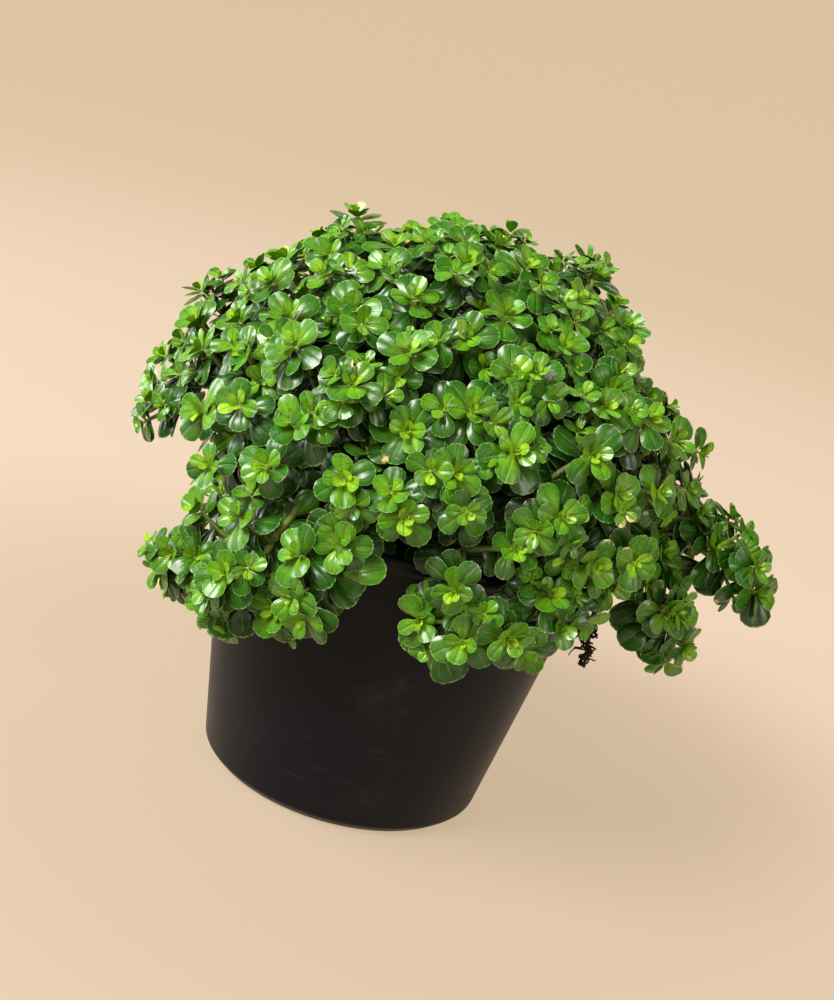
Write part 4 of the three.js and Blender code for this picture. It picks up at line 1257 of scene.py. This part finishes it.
# single leaves that stand out: their foot, direction, the way the blade faces, length and age
SINGLE_LEAVES = {
    "left_spill_front": [((-10.0, -58.5, 72.0), (0.8, 0.0, 0.6), (-0.25, -0.9, 0.4), 10.2, 0.5),
                         ((-13.2, -56.8, 69.5), (0.75, -0.1, -0.5), (0.1, -0.9, 0.5), 9.0, 0.7)],
    "front_creeper": [((14.5, -57.5, 62.0), (0.15, -0.15, -1.0), (0.0, -0.95, 0.3), 9.0, 0.85),
                      ((16.5, -57.0, 67.5), (0.3, 0.0, 1.0), (0.0, -0.95, 0.3), 7.5, 0.9)],
    "left_spill_near": [((-24.5, -50.0, 79.0), (0.3, -0.2, 0.9), (-0.1, -0.95, 0.35), 7.0, 0.5),
                        ((-25.0, -51.0, 77.5), (0.9, -0.1, -0.2), (0.0, -0.95, 0.4), 7.5, 0.6),
                        ((-25.5, -51.5, 77.0), (-0.6, -0.1, 0.5), (-0.2, -0.9, 0.4), 6.5, 0.5),
                        ((-27.0, -53.8, 72.5), (-0.5, -0.1, 0.6), (-0.2, -0.9, 0.35), 8.5, 0.5),
                        ((-26.0, -54.0, 74.5), (0.7, -0.1, 0.4), (0.0, -0.9, 0.4), 8.0, 0.6),
                        ((-34.0, -50.5, 56.0), (0.1, -0.3, -1.0), (0.0, -0.95, 0.3), 9.5, 0.95),
                        ((-31.0, -52.5, 58.0), (0.45, -0.3, -1.0), (0.1, -0.95, 0.25), 9.5, 0.95)],
    "right_reacher": [((73.0, -8.5, 82.5), (-0.7, -0.1, -0.7), (0.0, -0.9, 0.4), 8.0, 0.9),
                      ((75.5, -8.8, 83.5), (0.0, -0.2, -1.0), (0.1, -0.9, 0.3), 7.5, 0.9),
                      ((66.0, -7.0, 84.0), (-0.2, -0.2, -1.0), (0.0, -0.9, 0.3), 8.0, 0.8),
                      ((86.5, -10.0, 80.0), (0.3, 0.0, -1.0), (0.1, -0.9, 0.35), 8.5, 0.85)],
    "right_low": [((62.0, -26.0, 69.5), (-0.9, -0.1, -0.6), (0.0, -0.9, 0.45), 8.5, 0.85),
                  ((66.0, -25.0, 68.5), (-0.3, -0.2, -1.0), (0.0, -0.9, 0.35), 8.0, 0.75)],
}
TRAIL_HOLD = 0.75


def trail_arm(foliage, middle, ahead, out, clear, turn, tint, sky):
    """A short arm from a trailing stem to its open side, which ends in a rosette."""
    axis = unit(out * 0.5 + clear * 0.5)
    tip = middle + out * 0.7 + axis * TRAIL_ARM
    curve = bezier(middle, out + 0.5 * ahead, TRAIL_ARM * 0.25, tip, axis, TRAIL_ARM * 0.35)
    arm = foliage.stem(curve, ARM_R * 0.7, TIP_R * 0.7, TRAIL_ARM_AGES)
    foliage.rosette(arm, arm.carried(np.cross(ahead, out), turn), 0.95, range(7), tint, sky=sky)


def leaves_inside(foliage, stem, u, low, high, tint):
    """Pairs and sprigs on the part of a trailing stem that stands inside the rim."""
    for k, back in enumerate(np.arange(low, high, 4.5)):
        turned_side = u if k % 2 else np.cross(UP, u)
        foliage.pair(stem, turned_side, 7, 1.0, back, tint, 0.1, False, to_light(u), TRAIL_HOLD)
        side = UP * 0.5 + u + foliage.random.normal(0, 0.6, 3)
        foliage.sprig(stem, side, 0.9, back, tint, to_light(u))


def trailing_shoot(number, name, root, route, arms):
    foliage = Foliage(name, 401 + number)
    draw = seeded(number + 201)
    places = np.array([around(root, TRAIL_ROOT_R, SOIL_TOP + 2), *[around(*p) for p in route]])
    rooted = np.concatenate([[around(root, TRAIL_ROOT_R, SOIL_TOP - 6)], through(places)])
    stem = foliage.stem(rooted, TRUNK_R, TIP_R, TRAIL_AGES)
    length = Stem(through(places)).length
    free = length * TRAIL_FREE_FROM
    pairs = int((length - free - TRAIL_END) // TRAIL_SPACING)
    tint, pull = foliage.random.normal(0, 0.3), TRAIL_PULL.get(name, USUAL_PULL)
    u = around(root, 1, 0)
    for k in range(pairs):
        back = length - free - k * (length - free - TRAIL_END) / pairs - CROSS_H / 2
        ahead, middle = stem.heading(stem.length - back), stem.at(stem.length - back)
        side = square_to(u, ahead)
        if k % 2:
            side = np.cross(ahead, side)
        clear = unit(unit(middle * (1, 1, 0)) * 0.7 + UP * 0.3)
        sky = to_light(clear, pull)
        for sign in (1, -1):
            out = side * sign
            if k in arms and out @ clear > 0:
                trail_arm(foliage, middle, ahead, out, clear, draw(-0.7, 0.7), tint, sky)
        crossed = np.cross(ahead, side)
        bare = k < BARE_PAIRS.get(name, 0)
        if not bare:
            for across, rank, ahead_by in ((side, 5, 0), (crossed, 6, 0.5), (side + crossed, 7, 0.25)):
                place = back - ahead_by * TRAIL_SPACING
                foliage.pair(stem, across, rank, 1.0, place, tint, sky=sky, hold=TRAIL_HOLD)
        for across in (side, crossed, side + crossed)[:0 if bare else SPRIGS.get(name, 2)]:
            upper = across if across @ clear > 0 else -across
            fronting = FRONT * (pull - USUAL_PULL) / 2
            place = back - foliage.random.uniform(0, 5)
            foliage.sprig(stem, unit(upper + clear + fronting), 1.2, place, tint, sky)
    if name not in LEAFLESS_INSIDE:
        leaves_inside(foliage, stem, u, length - free + 1.5, length - 4, tint)
    for back, rank in () if name in NOTHING_UNDER else UNDER_PAIRS:
        foliage.pair(stem, UP * 1.0 + u * 0.2, rank, 1.0, back, tint, sky=sky, hold=TRAIL_HOLD)
    foliage.rosette(stem, stem.carried(u), 1.0, range(7), tint, 0.7, sky=sky, lean=0.6)
    for foot, out, up, size, age in SINGLE_LEAVES.get(name, ()):
        up = unit(np.array(up))
        foliage.leaf(np.array(foot), square_to(np.array(out), up), up, size, (0, -0.1, 0.2, 0.03), age)
    return foliage.finish(f"foliage_{name}", GREENERY)


print("trailing leaves:", sum(trailing_shoot(number, *trail) for number, trail in enumerate(TRAILS)))

# %% [markdown]
# ## The dry strand
#
# A dead piece of root hangs over the front right of the rim, black and lacy. Its middle is a thin
# crooked tube, and dozens of short rootlets curl away from it and back. Each rootlet is a small
# Catmull-Rom tube through random places near the strand.

# %% Dry strand
STRAND_ROOT = -32
STRAND_ROUTE = [(-32, 43, 77), (-32, 48, 81), (-32, 54, 77), (-32, 57, 70), (-30, 56.5, 65),
                (-31, 58, 60), (-29, 58, 55)]
ROOTLETS = 46
FIBRE_BLACK, FIBRE_BROWN = (0.006, 0.0045, 0.004), (0.035, 0.022, 0.014)


def strand_parts():
    random = np.random.default_rng(23)
    places = np.array([around(STRAND_ROOT, TRAIL_ROOT_R, SOIL_TOP - 5),
                       around(STRAND_ROOT, TRAIL_ROOT_R, SOIL_TOP + 2),
                       *[around(*place) for place in STRAND_ROUTE]])
    wobble = random.normal(0, 0.35, places.shape)
    wobble[:5] = 0
    stem = Stem(through(places + wobble))
    parts = [tube(stem, 0.9, 0.3, (0, 1), steps=44, swell=0.35, spacing=2.3)]
    for _ in range(ROOTLETS):
        back = random.uniform(0.2, 17)
        start = stem.at(stem.length - back)
        bulk = 1.9 * math.sin(math.pi * min(1, 0.15 + back / 20))
        steps = random.normal(0, 1, (4, 3)) * (bulk, bulk, 1.3) - (0, 0, 0.5)
        wander = start + np.concatenate([np.zeros((1, 3)), np.cumsum(steps * 0.42, axis=0)])
        radius = random.uniform(0.14, 0.34)
        rootlet = Stem(through(wander, 8))
        parts.append(tube(rootlet, radius, radius * 0.5, (0, 1), steps=11, swell=0.6, spacing=1.1))
    for part in parts:
        part["material"] = 0
    return parts


def dry_fibre():
    paint = Finish("dry_fibre", Specular_IOR_Level=0.3)
    place = paint.place()
    fray = paint.noise(place, 1600, 3)
    colour = paint.mix(FIBRE_BLACK, FIBRE_BROWN, paint.smooth(fray, 0.4, 0.75))
    paint.feed(Base_Color=colour, Roughness=0.7 + fray * 0.3, Normal=paint.bump(fray, 0.0003))
    return paint.material


strand = mesh_object("dead_strand", strand_parts(), [dry_fibre()])
declare(strand, "dry_root")
print("strand faces:", len(strand.data.polygons))

# %% [markdown]
# ## Floor and light
#
# The picture was taken against a plain cream backdrop in soft studio light. A floor that curves up
# into a wall on all sides gives that ground from every view with no horizon. It glows a little, as a
# backdrop does that has lamps of its own: least near the pot, most some way off, and less again far
# away. One large soft light stands high on the left. Weaker ones fill from the right, from low on the
# left and from high behind, and a weak sky lights the rest.

# %% Floor and lights
FLOOR_PROFILE = [(0.0, 0), (300, 0), (700, 0), (1500, 0), (1900, 500), (1900, 1200), (1900, 1900)]
CREAM = (0.12, 0.098, 0.075)
NEAR_GLOW, MIDDLE_GLOW, FAR_GLOW = (0.54, 0.41, 0.285), (0.69, 0.53, 0.38), (0.60, 0.468, 0.316)
# name, place, size, power and colour
LIGHTS = [
    ("key", (-0.60, -0.55, 0.80), 0.65, 23.5, (1.0, 0.985, 0.95)),
    ("fill", (0.80, -0.75, 0.5), 0.6, 4.0, (1.0, 0.97, 0.93)),
    ("side", (-0.95, 0.2, 0.16), 0.6, 8.0, (0.90, 0.95, 1.0)),
    ("back", (0.2, 0.8, 0.9), 0.5, 3, (1.0, 0.96, 0.9)),
]
LIT_PLACE = Vector((0, 0, 0.09))


def add_floor():
    sweep = turned(rounded(FLOOR_PROFILE, 500, 12), 96)
    floor = mesh_object("studio_floor", [sweep], [])
    merged(floor, 0.05 * MM)
    floor.data.flip_normals()
    paint = Finish("cream_paper", Roughness=0.9, Specular_IOR_Level=0.2, Emission_Strength=1.0)
    place = paint.place()
    tooth = paint.noise(place, 3, 2)
    away = paint.node("VectorMath", {"operation": "LENGTH"}, 1, Vector=place)
    # The emission is painted light: it stands in for the backdrop's own lamps, and it also lightens the
    # plant's shadow on the floor.
    glow = paint.mix(NEAR_GLOW, MIDDLE_GLOW, paint.smooth(away, 0.08, 0.25))
    paint.feed(
        Base_Color=paint.mix(CREAM, tuple(c * 0.97 for c in CREAM), tooth),
        Emission_Color=paint.mix(glow, FAR_GLOW, paint.smooth(away, 0.4, 1.8)),
    )
    paint.material.cycles.emission_sampling = "NONE"
    floor.data.materials.append(paint.material)


def add_light(name, place, size, power, colour):
    data = bpy.data.lights.new(name, "AREA")
    data.shape, data.size, data.energy, data.color = "DISK", size, power, colour
    light = bpy.data.objects.new(name, data)
    light.location = place
    light.rotation_mode = "QUATERNION"
    light.rotation_quaternion = (LIT_PLACE - light.location).to_track_quat("-Z", "Y")
    bpy.context.scene.collection.objects.link(light)


def add_sky(colour, strength):
    world = bpy.data.worlds.new("sky")
    world.use_nodes = True
    world.node_tree.nodes["Background"].inputs["Color"].default_value = (*colour, 1)
    world.node_tree.nodes["Background"].inputs["Strength"].default_value = strength
    bpy.context.scene.world = world


add_floor()
for light in LIGHTS:
    add_light(*light)
add_sky((1.0, 0.95, 0.88), 0.14)
bpy.context.scene.view_settings.view_transform = "Standard"
print("floor and lights set")
